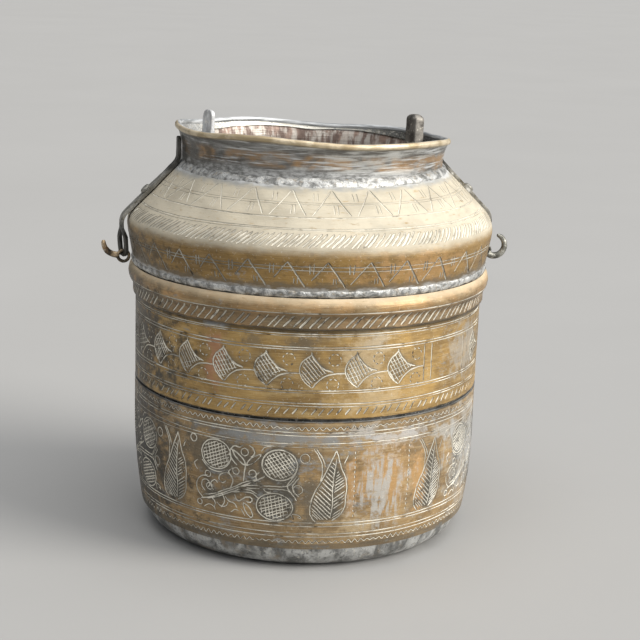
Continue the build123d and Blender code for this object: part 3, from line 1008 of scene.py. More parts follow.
def bent_plate(name, outline, hole, place, thickness, seed):
    """A plate with a hole, laid along a bent path, with softened edges and hammer marks."""
    flat = [tuple(map(float, p)) for p in outline + hole]
    edges = [(k, (k + 1) % len(outline)) for k in range(len(outline))]
    edges += [(len(outline) + k, len(outline) + (k + 1) % len(hole)) for k in range(len(hole))]
    for u in np.arange(1.0, outline[len(outline) // 2][0], 1.3):
        flat.extend((float(u), float(v)) for v in (-2.9, -1.4, 0.0, 1.4, 2.9))
    found = delaunay_2d_cdt([Vector(p) for p in flat], edges, [], 0, 1e-4)
    points = [tuple(v) for v in found[0]]
    faces = []
    for face in found[2]:
        centre = tuple(sum(points[k][i] for k in face) / 3 for i in range(2))
        if within(centre, outline) and not within(centre, hole):
            faces.append(list(face))
    used = sorted({k for face in faces for k in face})
    number = {k: n for n, k in enumerate(used)}
    faces = [[number[k] for k in face] for face in faces]
    points = [points[k] for k in used]
    count = len(points)
    sides = [side for face in faces for side in zip(face, face[1:] + face[:1])]
    crossed = {(b, a) for a, b in sides}
    border = [side for side in sides if side not in crossed]
    verts = np.concatenate([place(points, thickness / 2), place(points, -thickness / 2)])
    shell = faces + [[count + k for k in face[::-1]] for face in faces]
    shell += [[b, a, count + a, count + b] for a, b in border]
    piece = make_mesh(name, verts, shell)
    face_outwards(piece)
    soften(piece, 0.55)
    batter(piece, 0.16, 4.0, seed)
    return piece


def soften(piece, size):
    """Round the sharp edges of a mesh."""
    bevel = piece.modifiers.new("soften", "BEVEL")
    bevel.width = size * MM
    bevel.segments = 2
    bevel.limit_method = "ANGLE"
    bevel.angle_limit = math.radians(40)
    apply_modifiers(piece)


def apply_modifiers(piece):
    """Make what the modifiers show the mesh itself."""
    shown = bpy.context.evaluated_depsgraph_get()
    mesh = bpy.data.meshes.new_from_object(piece.evaluated_get(shown))
    piece.modifiers.clear()
    piece.data = mesh
    mesh.name = piece.name
    mesh.polygons.foreach_set("use_smooth", [True] * len(mesh.polygons))


def batter(piece, amount, size, seed):
    """Uneven the surface of a forged piece, along its normals."""
    mesh = piece.data
    shift = Vector((seed * 1.7, seed * 2.9, seed * 0.6))
    moved_to = [v.co + v.normal * amount * MM * (noise.noise(v.co / (size * MM) + shift)
                                                 + 0.5 * noise.noise(v.co / (size * 0.4 * MM) - shift))
                for v in mesh.vertices]
    for v, co in zip(mesh.vertices, moved_to):
        v.co = co
    mesh.update()


def tube(points, sizes, sides=16, closed=False):
    """Points and faces of a round bar of changing size along a line in space."""
    points = np.array(points, float)
    rows = []
    ahead = np.roll(points, -1, axis=0) - np.roll(points, 1, axis=0)
    if not closed:
        ahead[0], ahead[-1] = points[1] - points[0], points[-1] - points[-2]
    across = np.cross(ahead[0], (0.3, 0.2, 1))
    for p, d, size in zip(points, ahead, sizes):
        d = d / np.linalg.norm(d)
        across = across - d * (across @ d)
        across /= np.linalg.norm(across)
        other = np.cross(d, across)
        turns = around(sides)[:, None]
        rows.append(p + size * (np.cos(turns) * across + np.sin(turns) * other))
    verts, faces = skin(rows, closed)
    return verts, [face[::-1] for face in faces]


def hook(name, turn, swing, shank, curl_size, curl, thick, seed):
    """Hand-bent hook: a ring in the eye of the strap, a tapering shank and a point curled back."""
    ring_radius, ring_wire = 3.6, 1.12
    ring = [(ring_radius * math.cos(a), 0, ring_radius * math.sin(a)) for a in around(40)]
    line = [(x, 0.0, 0.0) for x in np.linspace(ring_radius - 0.7, shank, 5)]
    swept = np.linspace(0, math.radians(curl), 22)[1:]
    line += [(shank + curl_size * math.sin(a), 0.0, curl_size - curl_size * math.cos(a)) for a in swept]
    shares = np.linspace(0, 1, len(line))
    sizes = thick * np.interp(shares, [0, 0.5, 0.92, 1.0], [1, 1, 0.75, 0.45])
    verts, faces = tube(ring, [ring_wire] * len(ring), 12, closed=True)
    more, more_faces = tube(line, sizes)
    faces += [[k + len(verts) for k in face] for face in more_faces]
    tilt = np.array(Matrix.Rotation(math.radians(-swing), 3, "Y"))
    tilted = np.concatenate([verts, more]) @ tilt.T
    piece = make_mesh(name, faced(tilted + (HANG_RADIUS, 0, HANG_HEIGHT), turn), faces)
    fuse(piece, 0.32)
    batter(piece, 0.14, 2.6, seed)
    return piece


def fuse(piece, size):
    """Join crossing solids of a mesh into one smooth skin."""
    remesh = piece.modifiers.new("fuse", "REMESH")
    remesh.mode = "VOXEL"
    remesh.voxel_size = size * MM
    smooth = piece.modifiers.new("smooth", "SMOOTH")
    smooth.factor = 0.5
    smooth.iterations = 4
    apply_modifiers(piece)


def lug(name, turn_degrees, width, depth, foot, seed):
    """Forged upright lug inside the neck: a bar with worn corners and a rounded top."""
    outer = NECK_RADIUS - NECK_SHEET - 1.1
    top, dome = 274.3, 4
    heights = [*np.arange(foot, top - dome, 1.2), *(top - dome + dome * np.sin(np.linspace(0, TURN / 4, 9)))]
    rows = []
    for z in heights:
        drop = max(0.0, (z - top + dome) / dome)
        shrink = math.sqrt(max(1 - drop ** 2.2, 0.02))
        widen = 1.0 - 0.06 * (z - foot) / (top - foot)
        row = []
        for a in around(36):
            c, s = math.cos(a), math.sin(a)
            x = boxy(c, 0.3) * depth / 2 * widen * (0.35 + 0.65 * shrink)
            y = boxy(s, 0.3) * width / 2 * widen * (0.25 + 0.75 * shrink)
            row.append((outer - depth / 2 + x, y, z))
        rows.append(tipped(faced(row, math.radians(turn_degrees))))
    piece = turned(name, rows)
    batter(piece, 0.3, 6.0, seed)
    return piece


# Finishes --------------------------------------------------------------------------------

class Finish:
    """A procedural finish, built up node by node over the piece's own coordinates."""

    def __init__(self, name):
        self.material = bpy.data.materials.new(name)
        self.material.use_nodes = True
        self.tree = self.material.node_tree
        self.shader = self.tree.nodes["Principled BSDF"]
        self.coords = self.tree.nodes.new("ShaderNodeTexCoord").outputs["Object"]

    def put(self, kind, inputs, output=0, **settings):
        """Add a node with its inputs, and return one of its outputs."""
        node = self.tree.nodes.new(kind)
        for key, value in settings.items():
            setattr(node, key, value)
        for key, value in inputs.items():
            if isinstance(value, bpy.types.NodeSocket):
                self.tree.links.new(value, node.inputs[key])
            else:
                node.inputs[key].default_value = value
        return node.outputs[output]

    def grain(self, size, tall=1.0, detail=5.0, rough=0.55, warp=0.0, shift=0.0):
        """Noise with features of a size in mm, drawn out upwards where tall is over 1."""
        each = 1 / (size * MM)
        at = self.put("ShaderNodeMapping", {"Vector": self.coords, "Scale": (each, each, each / tall),
                                            "Location": (shift, shift * 0.7, shift * 1.3)})
        return self.put("ShaderNodeTexNoise", {"Vector": at, "Scale": 1.0, "Detail": detail,
                                               "Roughness": rough, "Distortion": warp})

    def mask(self, value, start, end):
        """0 before start and 1 after end, with a smooth change between them."""
        return self.put("ShaderNodeMapRange", {"Value": value, "From Min": start, "From Max": end},
                        interpolation_type="SMOOTHSTEP")

    def patchy(self, start, end, size, tall=1.0, **settings):
        """A mask over noise of its own."""
        return self.mask(self.grain(size, tall, **settings), start, end)

    def remap(self, value, low_end, high_end, start=0.0, end=1.0):
        """Goes from low_end to high_end while the value goes from start to end."""
        return self.put("ShaderNodeMapRange", {"Value": value, "From Min": start, "From Max": end,
                                               "To Min": low_end, "To Max": high_end})

    def calc(self, operation, a, b):
        """Arithmetic on two values. The result stays between 0 and 1 unless it is a difference."""
        clamped = operation != "SUBTRACT"
        return self.put("ShaderNodeMath", {0: a, 1: b}, operation=operation, use_clamp=clamped)

    def times(self, *shares):
        """The product of shares between 0 and 1."""
        product = shares[0]
        for share in shares[1:]:
            product = self.calc("MULTIPLY", product, share)
        return product

    def scaled(self, value, factor, base):
        """A base plus a factor times the value."""
        return self.put("ShaderNodeMath", {0: value, 1: factor, 2: base}, operation="MULTIPLY_ADD")

    def blend(self, share, a, b):
        """Colour a where the share is 0, and colour b where it is 1."""
        inputs = {0: share}
        for key, colour in ((6, a), (7, b)):
            inputs[key] = colour if isinstance(colour, bpy.types.NodeSocket) else (*colour, 1.0)
        return self.put("ShaderNodeMix", inputs, 2, data_type="RGBA")

    def tint(self, colour, new, *shares):
        """A new colour laid over a colour, as strongly as the product of the shares."""
        return self.blend(self.times(*shares), colour, new)

    def mark(self, name):
        """A value that the mesh carries at its points."""
        return self.put("ShaderNodeAttribute", {}, "Fac", attribute_name=name)

    def above(self, height, soft, ragged):
        """0 below a height in mm and 1 above it, with an uneven edge."""
        up = self.put("ShaderNodeSeparateXYZ", {"Vector": self.coords}, "Z")
        shaken = self.scaled(self.grain(7, 0.5, shift=height % 7, detail=6), 4 * ragged * MM, up)
        middle = height + 2 * ragged
        return self.mask(shaken, (middle - soft / 2) * MM, (middle + soft / 2) * MM)

    def spot(self, arc, height, wide, tall, radius, edge):
        """A ragged patch on a face of a radius, at an arc from the front and a height."""
        place = on_turn(np.array(arc / REFERENCE), radius, height) * MM
        away = self.put("ShaderNodeVectorMath", {0: self.coords, 1: tuple(map(float, place))},
                        operation="SUBTRACT")
        sizes = (1 / (wide * MM), 1 / (wide * MM), 1 / (tall * MM))
        scaled = self.put("ShaderNodeVectorMath", {0: away, 1: sizes}, operation="MULTIPLY")
        length = self.put("ShaderNodeVectorMath", {0: scaled}, 1, operation="LENGTH")
        return self.mask(self.scaled(edge, 3.0, length), 2.5, 1.75)

    def patches(self, colour, rows, radius, edge):
        """Patches on a face. A row: colour, share, arc from the front, height, how wide and how tall."""
        for new, share, *where in rows:
            colour = self.tint(colour, new, self.spot(*where, radius, edge), share)
        return colour

    def belts(self, colour, rows):
        """Belts all the way round. A row: colour, share, two heights, how soft and how ragged its edges."""
        for new, share, bottom, top, soft, ragged in rows:
            between = self.calc("SUBTRACT", self.above(bottom, soft, ragged), self.above(top, soft, ragged))
            colour = self.tint(colour, new, between, share)
        return colour

    def set(self, colour, metal, rough, bump=None, bump_depth=0.1):
        """Connect the shader. A plain number goes on the shader's own socket."""
        for key, value in (("Base Color", colour), ("Metallic", metal), ("Roughness", rough)):
            if isinstance(value, bpy.types.NodeSocket):
                self.tree.links.new(value, self.shader.inputs[key])
            else:
                self.shader.inputs[key].default_value = value
        if bump is not None:
            node = self.put("ShaderNodeBump", {"Height": bump, "Strength": 1.0, "Distance": bump_depth * MM},
                            "Normal")
            self.tree.links.new(node, self.shader.inputs["Normal"])
        return self.material


DARK_BROWN = (0.040, 0.030, 0.018)
CHALK = (0.80, 0.76, 0.65)
TIN = (0.30, 0.31, 0.31)
PALE_TIN = (0.60, 0.61, 0.61)
LILAC_TIN = (0.49, 0.485, 0.455)
DARK_TIN = (0.085, 0.083, 0.070)
GOLD = (0.47, 0.30, 0.125)
BROWN_BRASS = (0.27, 0.175, 0.078)
PALE_BRASS = (0.60, 0.46, 0.27)
ORANGE_BRASS = (0.52, 0.31, 0.13)
COPPER = (0.46, 0.23, 0.13)
PATINA = (0.155, 0.13, 0.093)
# Painted deep shade: the gaps between the tiers, the band under the skirt, the hanging and top ends of the
# straps, and the left hook in its eye.
PAINTED_DEEP_SHADE = (0.030, 0.028, 0.022)
# Painted shade: darkens the left side of the tiers, skirt and shoulder, and the back right inside the mouth
# band, where the key light does not reach.
PAINTED_SHADE = (0.045, 0.042, 0.034)


def shaded(colour, factor):
    """A colour made darker or paler."""
    return [factor * c for c in colour]


def bare_brass(f, tones, turning):
    """Uneven tone of bare brass, rubbed lighter in places, with level turning marks."""
    dark, middle, light = tones
    colour = f.blend(f.patchy(0.38, 0.62, 34, 0.6, shift=1.7, warp=0.5), dark, middle)
    colour = f.tint(colour, light, f.patchy(0.46, 0.70, 15, 0.22, shift=2.9, detail=6), 0.5)
    colour = f.tint(colour, light, f.mask(turning, 0.50, 0.68), 0.32)
    return f.tint(colour, shaded(dark, 0.55), f.mask(turning, 0.48, 0.32), 0.34)


def patina_and_tin(f, colour, patina, specks, tin):
    """Patina where the cuts crowd, dark specks all over, and what is left of the tin after wiping."""
    crowd = f.mark("crowd")
    colour = f.tint(colour, PATINA, crowd, f.patchy(0.28, 0.56, 12, shift=6.2), patina)
    colour = f.tint(colour, DARK_TIN, f.mask(crowd, 0.65, 1.0), patina)
    colour = f.tint(colour, DARK_BROWN, f.patchy(0.56, 0.70, 5, 0.7, shift=4.1), specks)
    film = f.calc("ADD", f.times(f.grain(26, 0.4, shift=8.3, warp=0.8), 0.62),
                  f.times(f.grain(3.2, 0.5, shift=5.2), 0.38))
    return f.tint(colour, TIN, f.mask(film, 0.62 - 0.14 * tin, 0.70 - 0.10 * tin), 0.7)


def streaked(f, colour, rows, radius, edge):
    """Upright streaks inside ragged patches. A row also has the level of noise where its streaks start."""
    upright = f.grain(4.2, 5.0, shift=3.9, rough=0.6)
    for new, start, *where in rows:
        colour = f.tint(colour, new, f.spot(*where, radius, edge), f.mask(upright, start, start + 0.10), 0.85)
    return colour


def coat_and_painted_highlight(f, colour, coat_and_highlight, coat_and_highlight_share):
    """A pale tone over the upper part, worn off in flecks. On the skirt's roll it is a painted highlight
    where the roll faces up.
    """
    tone = f.blend(f.patchy(0.36, 0.62, 24, 0.5, shift=1.2, detail=6), shaded(coat_and_highlight, 0.8), coat_and_highlight)
    return f.tint(colour, tone, coat_and_highlight_share, f.patchy(0.16, 0.44, 6, 0.25, shift=2.6, detail=6), 0.9)


def tinned_lining(f, colour, edge):
    """Mottled tin on the inner face of a wall."""
    rubbed = f.patchy(0.40, 0.60, 15, 0.22, shift=2.9, detail=6)
    lining = f.blend(rubbed, shaded(TIN, 0.55), shaded(TIN, 1.25))
    lining = f.tint(lining, (0.20, 0.155, 0.11), f.mask(edge, 0.56, 0.68), 0.5)
    return f.blend(f.mark("inside"), colour, lining)


def aged_brass(name, tones, tin=0.5, chalk=0.95, radius=WALL_FACE, spots=(), streaks=(), belts=(), coat_and_highlight=None,
               coat_and_highlight_foot=0.0, metal=0.6, rough=0.40, patina=0.7, bare_chalk=1.0, specks=0.3):
    """Worn engraved brass. A pale top starts at a given height, and below it the cuts hold less chalk; on the
    skirt this pale top is a painted highlight.
    """
    f = Finish(name)
    turning = f.grain(26, 0.022, shift=8.1, detail=6)
    edge = f.grain(7, 0.8, shift=6.4, detail=7, rough=0.65)
    coat_and_highlight_share = f.above(coat_and_highlight_foot, 8.0, 0.8) if coat_and_highlight else 0.0
    colour = patina_and_tin(f, bare_brass(f, tones, turning), patina, specks, tin)
    colour = streaked(f, f.patches(colour, spots, radius, edge), streaks, radius, edge)
    dull = f.times(f.patchy(0.60, 0.72, 1.5, shift=3.3), 0.35)
    colour = f.blend(dull, colour, CHALK)
    if coat_and_highlight:
        colour = coat_and_painted_highlight(f, colour, coat_and_highlight, coat_and_highlight_share)
    colour = f.belts(colour, belts)
    cut = f.mark("cut")
    kept = f.remap(f.grain(30, shift=4.6), 0.55 * chalk, chalk, 0.40, 0.56)
    filled = f.times(f.mask(cut, 0.26, 0.46), f.patchy(0.26, 0.48, 6, shift=9.9),
                     f.times(kept, f.remap(coat_and_highlight_share, bare_chalk, 1.0)))
    # The cuts are darkened wherever chalk does not fill them: painted shade in the grooves.
    colour = f.tint(colour, DARK_BROWN, f.mask(cut, 0.0, 0.14), 0.85, f.remap(coat_and_highlight_share, 1.0, 0.7))
    colour = tinned_lining(f, f.blend(filled, colour, CHALK), edge)
    dull = f.calc("MAXIMUM", f.calc("MAXIMUM", dull, f.times(coat_and_highlight_share, 0.85)), f.times(filled, 0.95))
    roughness = f.scaled(f.grain(6, 0.6, shift=7.7), 0.35, rough - 0.17)
    roughness = f.calc("ADD", roughness, f.times(dull, 0.35))
    scratches = f.calc("ADD", f.times(f.grain(1.3, 0.25, shift=1.1, detail=4), 0.35),
                       f.times(f.grain(4.5, 0.8, shift=2.2), 0.45))
    scratches = f.calc("ADD", scratches, f.times(turning, 0.3))
    return f.set(colour, f.scaled(dull, -metal, metal), roughness, scratches, 0.4)


def wiped_tin(name, dark, light, warm, size=16.0, tall=1.0, rough=0.5, bump=0.3, radius=REFERENCE, spots=()):
    """Dull tinned or soldered metal: mottled greys with a warm stain, pits and scuffs."""
    f = Finish(name)
    fine = f.grain(size / 6, tall, shift=5.5)
    colour = f.blend(f.patchy(0.36, 0.62, size, tall, shift=2.4, warp=0.7, detail=6), dark, light)
    colour = f.tint(colour, shaded(dark, 0.35), f.mask(fine, 0.52, 0.66), 0.6)
    colour = f.tint(colour, warm, f.patchy(0.55, 0.72, size * 0.7, tall, shift=7.1), 0.6)
    colour = f.tint(colour, CHALK, f.patchy(0.58, 0.68, 2.2, tall, shift=3.1), 0.4)
    colour = f.patches(colour, spots, radius, fine)
    metal = f.scaled(f.mask(fine, 0.4, 0.7), -0.4, 0.75)
    pits = f.calc("ADD", f.times(fine, 0.7), f.times(f.grain(1.1, tall, shift=6.6), 0.45))
    return f.set(colour, metal, f.scaled(fine, 0.4, rough - 0.2), pits, bump)


def neck_outside(f, rise, streak, patch):
    """Level streaks of grey tin over brass, a crust above the solder, and a cream lip. Pale streaks on the
    right half are partly painted light, and a dark patch on the left side is painted shade.
    """
    colour = f.blend(f.mask(streak, 0.40, 0.60), (0.125, 0.12, 0.11), (0.27, 0.27, 0.26))
    girth = f.calc("SUBTRACT", f.mask(rise, 0.34, 0.48), f.mask(rise, 0.66, 0.82))
    colour = f.tint(colour, (0.36, 0.22, 0.10), girth, f.times(f.mask(patch, 0.36, 0.64), 0.85))
    colour = f.tint(colour, PALE_TIN, f.patchy(0.53, 0.66, 24, 0.05, shift=9.1, detail=6), 0.8)
    # Pale tin streaks on the right half, partly painted light where the key light falls.
    pale_streaks_and_painted_light = f.spot(62, 250, 66, 26, NECK_FACE, f.grain(9, 0.6, shift=2.4))
    colour = f.tint(colour, (0.55, 0.55, 0.52), pale_streaks_and_painted_light, f.mask(streak, 0.36, 0.60), 0.65)
    crust = f.blend(f.patchy(0.36, 0.64, 4.0, 0.35, shift=2.1, detail=7, rough=0.65), (0.20, 0.20, 0.19),
                    (0.54, 0.54, 0.53))
    clear = f.mask(f.calc("ADD", rise, f.times(patch, 0.3)), 0.42, 0.58)
    colour = f.blend(f.calc("SUBTRACT", 0.9, clear), colour, crust)
    # Painted shade on the left side of the neck.
    shade = f.spot(-140, 250, 56, 22, 84, f.grain(9, 0.6, shift=1.4))
    colour = f.tint(colour, (0.075, 0.07, 0.06), shade, 0.7)
    lip = f.blend(f.mask(patch, 0.40, 0.62), (0.42, 0.33, 0.20), (0.66, 0.56, 0.40))
    return f.blend(f.mask(rise, 0.90, 0.97), colour, lip)


def worn_neck():
    """Neck: streaked tin outside, and stained copper with pale drips inside."""
    f = Finish("worn_neck")
    streak = f.grain(22, 0.07, shift=3.7, detail=7, warp=0.3)
    patch = f.grain(13, 0.7, shift=6.9, detail=6, warp=0.5)
    colour = neck_outside(f, f.mark("rise"), streak, patch)
    lining = f.blend(f.patchy(0.4, 0.62, 9, 2.0, shift=2.2), (0.15, 0.105, 0.085), (0.34, 0.24, 0.19))
    lining = f.tint(lining, (0.58, 0.54, 0.48), f.patchy(0.42, 0.62, 3.6, 9.0, shift=4.4, detail=6), 0.8)
    inside = f.mark("inside")
    colour = f.blend(f.mask(inside, 0.1, 0.4), colour, f.blend(f.mask(streak, 0.4, 0.6), TIN, PALE_TIN))
    colour = f.blend(f.mask(inside, 0.6, 0.9), colour, lining)
    marks = f.calc("ADD", f.times(f.grain(20, 0.03, shift=1.9), 0.8),
                   f.times(f.grain(2.5, 0.6, shift=5.9), 0.6))
    return f.set(colour, 0.45, f.scaled(streak, 0.4, 0.24), marks, 0.35)


def forged(name, dark, light, size=5.0, rough=0.55, metal=0.7, painted_light_and_shade=(), radius=REFERENCE, spots=()):
    """Forged or drawn metal with a scaly, uneven surface."""
    f = Finish(name)
    scale = f.grain(size, 1.6, shift=2.6, detail=6)
    colour = f.blend(f.mask(scale, 0.38, 0.64), dark, light)
    colour = f.tint(colour, CHALK, f.patchy(0.56, 0.68, size / 3, shift=8.8), 0.5)
    # Belts and patches laid on here carry painted light and shade for the straps and the left hook.
    colour = f.belts(f.patches(colour, spots, radius, scale), painted_light_and_shade)
    return f.set(colour, metal, f.scaled(scale, 0.4, rough - 0.2), f.grain(size / 4, shift=4.7), 0.3)


# Building the carrier --------------------------------------------------------------------

def add(piece, material, body, slot, *nodes):
    """Give a piece its finish and its body, in place of CAD nodes. Its slot is not used."""
    coat_with(piece, material)
    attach(piece, body)
    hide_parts(*nodes)


def coat_with(piece, material):
    """Give a piece one material in place of what it had."""
    piece.data.materials.clear()
    piece.data.materials.append(material)


# Patches: colour, share, arc from the front, height, how wide and how tall.
# Painted light in this list: the first row is painted shade on the left side, and the pale tin at arcs 38 and
# 62 and the pale brass at arc 34 are painted highlights where the key light falls.
BOTTOM_SPOTS = [
    (PAINTED_SHADE, 0.9, -146, 58, 84, 96), (DARK_TIN, 0.6, -47, 90, 28, 8), (PATINA, 0.65, -62, 74, 48, 20),
    (LILAC_TIN, 0.5, 134, 62, 34, 50), (TIN, 0.8, -12, 88, 66, 6), (PALE_TIN, 0.6, 62, 87, 26, 6),
    (LILAC_TIN, 0.7, 104, 84, 24, 7), (PATINA, 0.8, 5, 48, 8, 28), (ORANGE_BRASS, 0.8, 80, 55, 8, 28),
    (ORANGE_BRASS, 0.8, 31, 58, 5, 32), (ORANGE_BRASS, 0.7, 52, 62, 26, 26), (PALE_TIN, 0.55, 38, 92, 14, 8),
    (PALE_BRASS, 0.6, 34, 31, 16, 10), (PALE_TIN, 0.5, 150, 66, 22, 34),
]
PANEL_STREAKS = [(LILAC_TIN, 0.44, 50, 55, 24, 34), (LILAC_TIN, 0.54, 122, 60, 44, 40)]
# Painted light in this list: the first row is painted shade on the left side, the pale tin at arc -58 is a
# painted highlight on the top edge of the tier, and the pale brass at arcs 38 and 44 are painted highlights
# where the key light falls.
MIDDLE_SPOTS = [
    (PAINTED_SHADE, 0.9, -146, 132, 74, 66), (COPPER, 0.75, -58, 136, 8, 28), (PALE_TIN, 0.9, -58, 155, 12, 3),
    (PATINA, 0.7, -2, 149, 15, 7), (LILAC_TIN, 0.6, 44, 149, 10, 8), (LILAC_TIN, 0.5, 124, 134, 26, 24),
    (PATINA, 0.6, -32, 149, 8, 6), (DARK_TIN, 0.5, -96, 112, 18, 10), (PALE_BRASS, 0.7, 38, 140, 20, 30),
    (PALE_BRASS, 0.55, 44, 112, 30, 9),
]
# Both rows are painted light: shade on the left side, and a brighter orange tone on the right where the key
# light falls.
SHOULDER_SPOTS = [(PAINTED_SHADE, 0.7, -146, 190, 72, 22), (ORANGE_BRASS, 0.6, 66, 192, 60, 14)]

# Belts: colour, share, lower and upper height, how soft and how ragged the edges are.
# The darkest belts at the gaps between the tiers and under the skirt are painted shade; the dark tin belt
# near the foot only makes the wall darker there.
BOTTOM_GAP_SHADE_AND_FOOT_BELT = [(PAINTED_DEEP_SHADE, 0.9, 98.3, 103, 1.4, 0.5), (DARK_TIN, 0.6, 14, 19.4, 2, 1.2)]
MIDDLE_GAP_SHADE = [(PAINTED_DEEP_SHADE, 0.9, 90, 101.2, 1.2, 0.5), (PAINTED_DEEP_SHADE, 0.7, 154.2, 170, 2.0, 0.8)]
SKIRT_SHADE = [(PAINTED_DEEP_SHADE, 0.8, 150, 157.6, 1.2, 0.7), (PATINA, 0.4, 157.3, 166.4, 2.0, 1.0)]
SOLDER_SMEAR = [(PATINA, 0.75, 170, 184.6, 4.5, 2.6), (PALE_TIN, 0.6, 170, 181.4, 2.5, 1.7),
                (TIN, 0.8, 236.8, 260, 4.0, 1.8), (PALE_TIN, 0.6, 238.4, 260, 2.0, 1.6)]
# On the straps: the pale belt over the cone is a painted reflection of the bright sky above, and the dark
# belts at the hanging end and at the top are painted shade.
STRAP_PAINTED_LIGHT_AND_SHADE = [((0.36, 0.345, 0.30), 0.6, 202, 236, 8, 2), (PAINTED_DEEP_SHADE, 0.65, 170, 204, 6, 2),
              (PAINTED_DEEP_SHADE, 0.75, 237, 270, 4, 1)]

brass_low = aged_brass("brass_bottom", (BROWN_BRASS, GOLD, PALE_BRASS), tin=0.55, patina=0.8, metal=0.42,
                       spots=BOTTOM_SPOTS, streaks=PANEL_STREAKS, belts=BOTTOM_GAP_SHADE_AND_FOOT_BELT)
brass_middle = aged_brass("brass_middle", ((0.29, 0.18, 0.062), (0.49, 0.31, 0.105), (0.64, 0.46, 0.21)),
                          tin=0.2, patina=0.42, specks=0.15, metal=0.5, spots=MIDDLE_SPOTS,
                          belts=MIDDLE_GAP_SHADE)
# On the skirt the pale top above 173 mm is a painted highlight on the upper side of the roll, and the patch
# at arc -152 is painted shade.
brass_skirt = aged_brass("brass_skirt", (BROWN_BRASS, ORANGE_BRASS, PALE_BRASS), tin=0.2, chalk=0.9,
                         coat_and_highlight=(0.66, 0.54, 0.37), coat_and_highlight_foot=173.0, belts=SKIRT_SHADE,
                         radius=SHOULDER_FACE, spots=[(PAINTED_SHADE, 0.85, -152, 166, 66, 24)])
brass_shoulder = aged_brass("brass_shoulder", ((0.23, 0.14, 0.045), (0.36, 0.22, 0.068), (0.45, 0.30, 0.125)),
                            tin=0.25, patina=0.3, rough=0.42, metal=0.5, bare_chalk=0.6, belts=SOLDER_SMEAR,
                            coat_and_highlight=(0.57, 0.52, 0.41), coat_and_highlight_foot=203.6, radius=SHOULDER_FACE,
                            spots=SHOULDER_SPOTS)
pan_tin = wiped_tin("pan_tin", (0.20, 0.20, 0.19), (0.60, 0.60, 0.58), (0.34, 0.27, 0.19), 11, 1.4, 0.55, 0.5)
solder_tin = wiped_tin("solder_tin", (0.22, 0.22, 0.21), (0.64, 0.64, 0.62), (0.36, 0.29, 0.20), 5, 0.8,
                       bump=0.5)
floor_tin = wiped_tin("floor_tin", (0.20, 0.19, 0.17), (0.42, 0.41, 0.39), (0.24, 0.14, 0.08), 20, bump=0.25)
# Inside the mouth band the dark patch on the back right is painted shade and the chalk patch on the back left
# is painted light.
band_tin = wiped_tin("band_tin", (0.34, 0.34, 0.33), (0.58, 0.58, 0.56), (0.36, 0.30, 0.20), 12, 0.5, 0.45,
                     radius=NECK_FACE,
                     spots=[(PAINTED_SHADE, 0.85, 265, 255, 80, 30), (CHALK, 0.6, -330, 255, 90, 30)])
# The collar, seen only through the gap between the tiers, is made nearly black as painted shade in that gap.
collar_painted_shade = wiped_tin("collar_painted_shade", (0.05, 0.05, 0.045), (0.16, 0.155, 0.145), (0.12, 0.09, 0.05), 14,
                       rough=0.6)
dark_iron = forged("dark_iron", (0.07, 0.068, 0.06), (0.34, 0.335, 0.32), painted_light_and_shade=STRAP_PAINTED_LIGHT_AND_SHADE)
# The dark patch round the left hook's eye is painted shade.
hook_brass = forged("hook_brass", (0.24, 0.15, 0.08), (0.56, 0.42, 0.26), 6, 0.4, 0.6, radius=HANG_RADIUS,
                    spots=[(PAINTED_DEEP_SHADE, 0.9, REFERENCE * LEFT, HANG_HEIGHT, 12, 12)])
hook_iron = forged("hook_iron", (0.085, 0.083, 0.07), (0.30, 0.295, 0.26), rough=0.45)
lug_iron = forged("lug_iron", (0.09, 0.08, 0.07), (0.28, 0.26, 0.23), 7, metal=0.6)
# A pale copy of the lug iron for the left lug: a painted lit look on a lug that stands in shade.
painted_lit_lug_iron = forged("painted_lit_lug_iron", (0.42, 0.42, 0.42), (0.80, 0.81, 0.81), 7, metal=0.3)

add(base_pan(), pan_tin, "bottom_tier", "tinned_pan", "base_pan")
add(engraved_wall("bottom_wall_engraved", Sheet(bottom_line(), 2), bottom_ornament()),
    brass_low, "bottom_tier", "brass_wall", "bottom_wall")
add(engraved_wall("middle_wall_engraved", Sheet(middle_line(), 3), middle_ornament()),
    brass_middle, "middle_tier", "brass_wall", "middle_wall")
add(engraved_wall("skirt_engraved", Sheet(skirt_line(), 4, dent=0.15, thickness=1.4), skirt_ornament()),
    brass_skirt, "top_vessel", "brass_skirt", "skirt_ring")
add(engraved_wall("shoulder_engraved", Sheet(shoulder_line(), 5, dent=0.3), shoulder_ornament()),
    brass_shoulder, "top_vessel", "brass_shoulder", "shoulder_shell")
add(bead("waist_bead", 115.9, 178.5, across=0.9, tall=2.2, slope=-0.18, seed=21), solder_tin,
    "top_vessel", "solder", "waist_solder")
add(bead("neck_bead", 86.7, 240.4, across=0.95, tall=3.3, slope=0.7, seed=31), solder_tin,
    "top_vessel", "solder", "neck_solder")
add(neck_collar(), worn_neck(), "top_vessel", "worn_neck", "neck_collar")
add(mouth_band(), band_tin, "top_vessel", "tinned_band", "mouth_band")
add(strap("strap_left", LEFT, top=258.3, seed=41, twist=28), dark_iron, "top_vessel", "iron", "left_strap")
add(strap("strap_right", RIGHT, top=248.4, seed=43), dark_iron, "top_vessel", "iron", "right_strap")
add(hook("hook_left", LEFT, swing=10, shank=5.9, curl_size=8.4, curl=88, thick=2.0, seed=51), hook_brass,
    "left_hook", "hook_brass", "left_hook")
add(hook("hook_right", RIGHT, swing=-45, shank=2.0, curl_size=7.2, curl=212, thick=2.25, seed=53), hook_iron,
    "right_hook", "hook_iron", "right_hook")
add(lug("lug_left", -54.0, width=10.8, depth=3.4, foot=244, seed=61), painted_lit_lug_iron,
    "top_vessel", "lug_iron", "left_lug")
add(lug("lug_right", 119.5, width=12.8, depth=8.4, foot=242, seed=63), lug_iron,
    "top_vessel", "lug_iron", "right_lug")
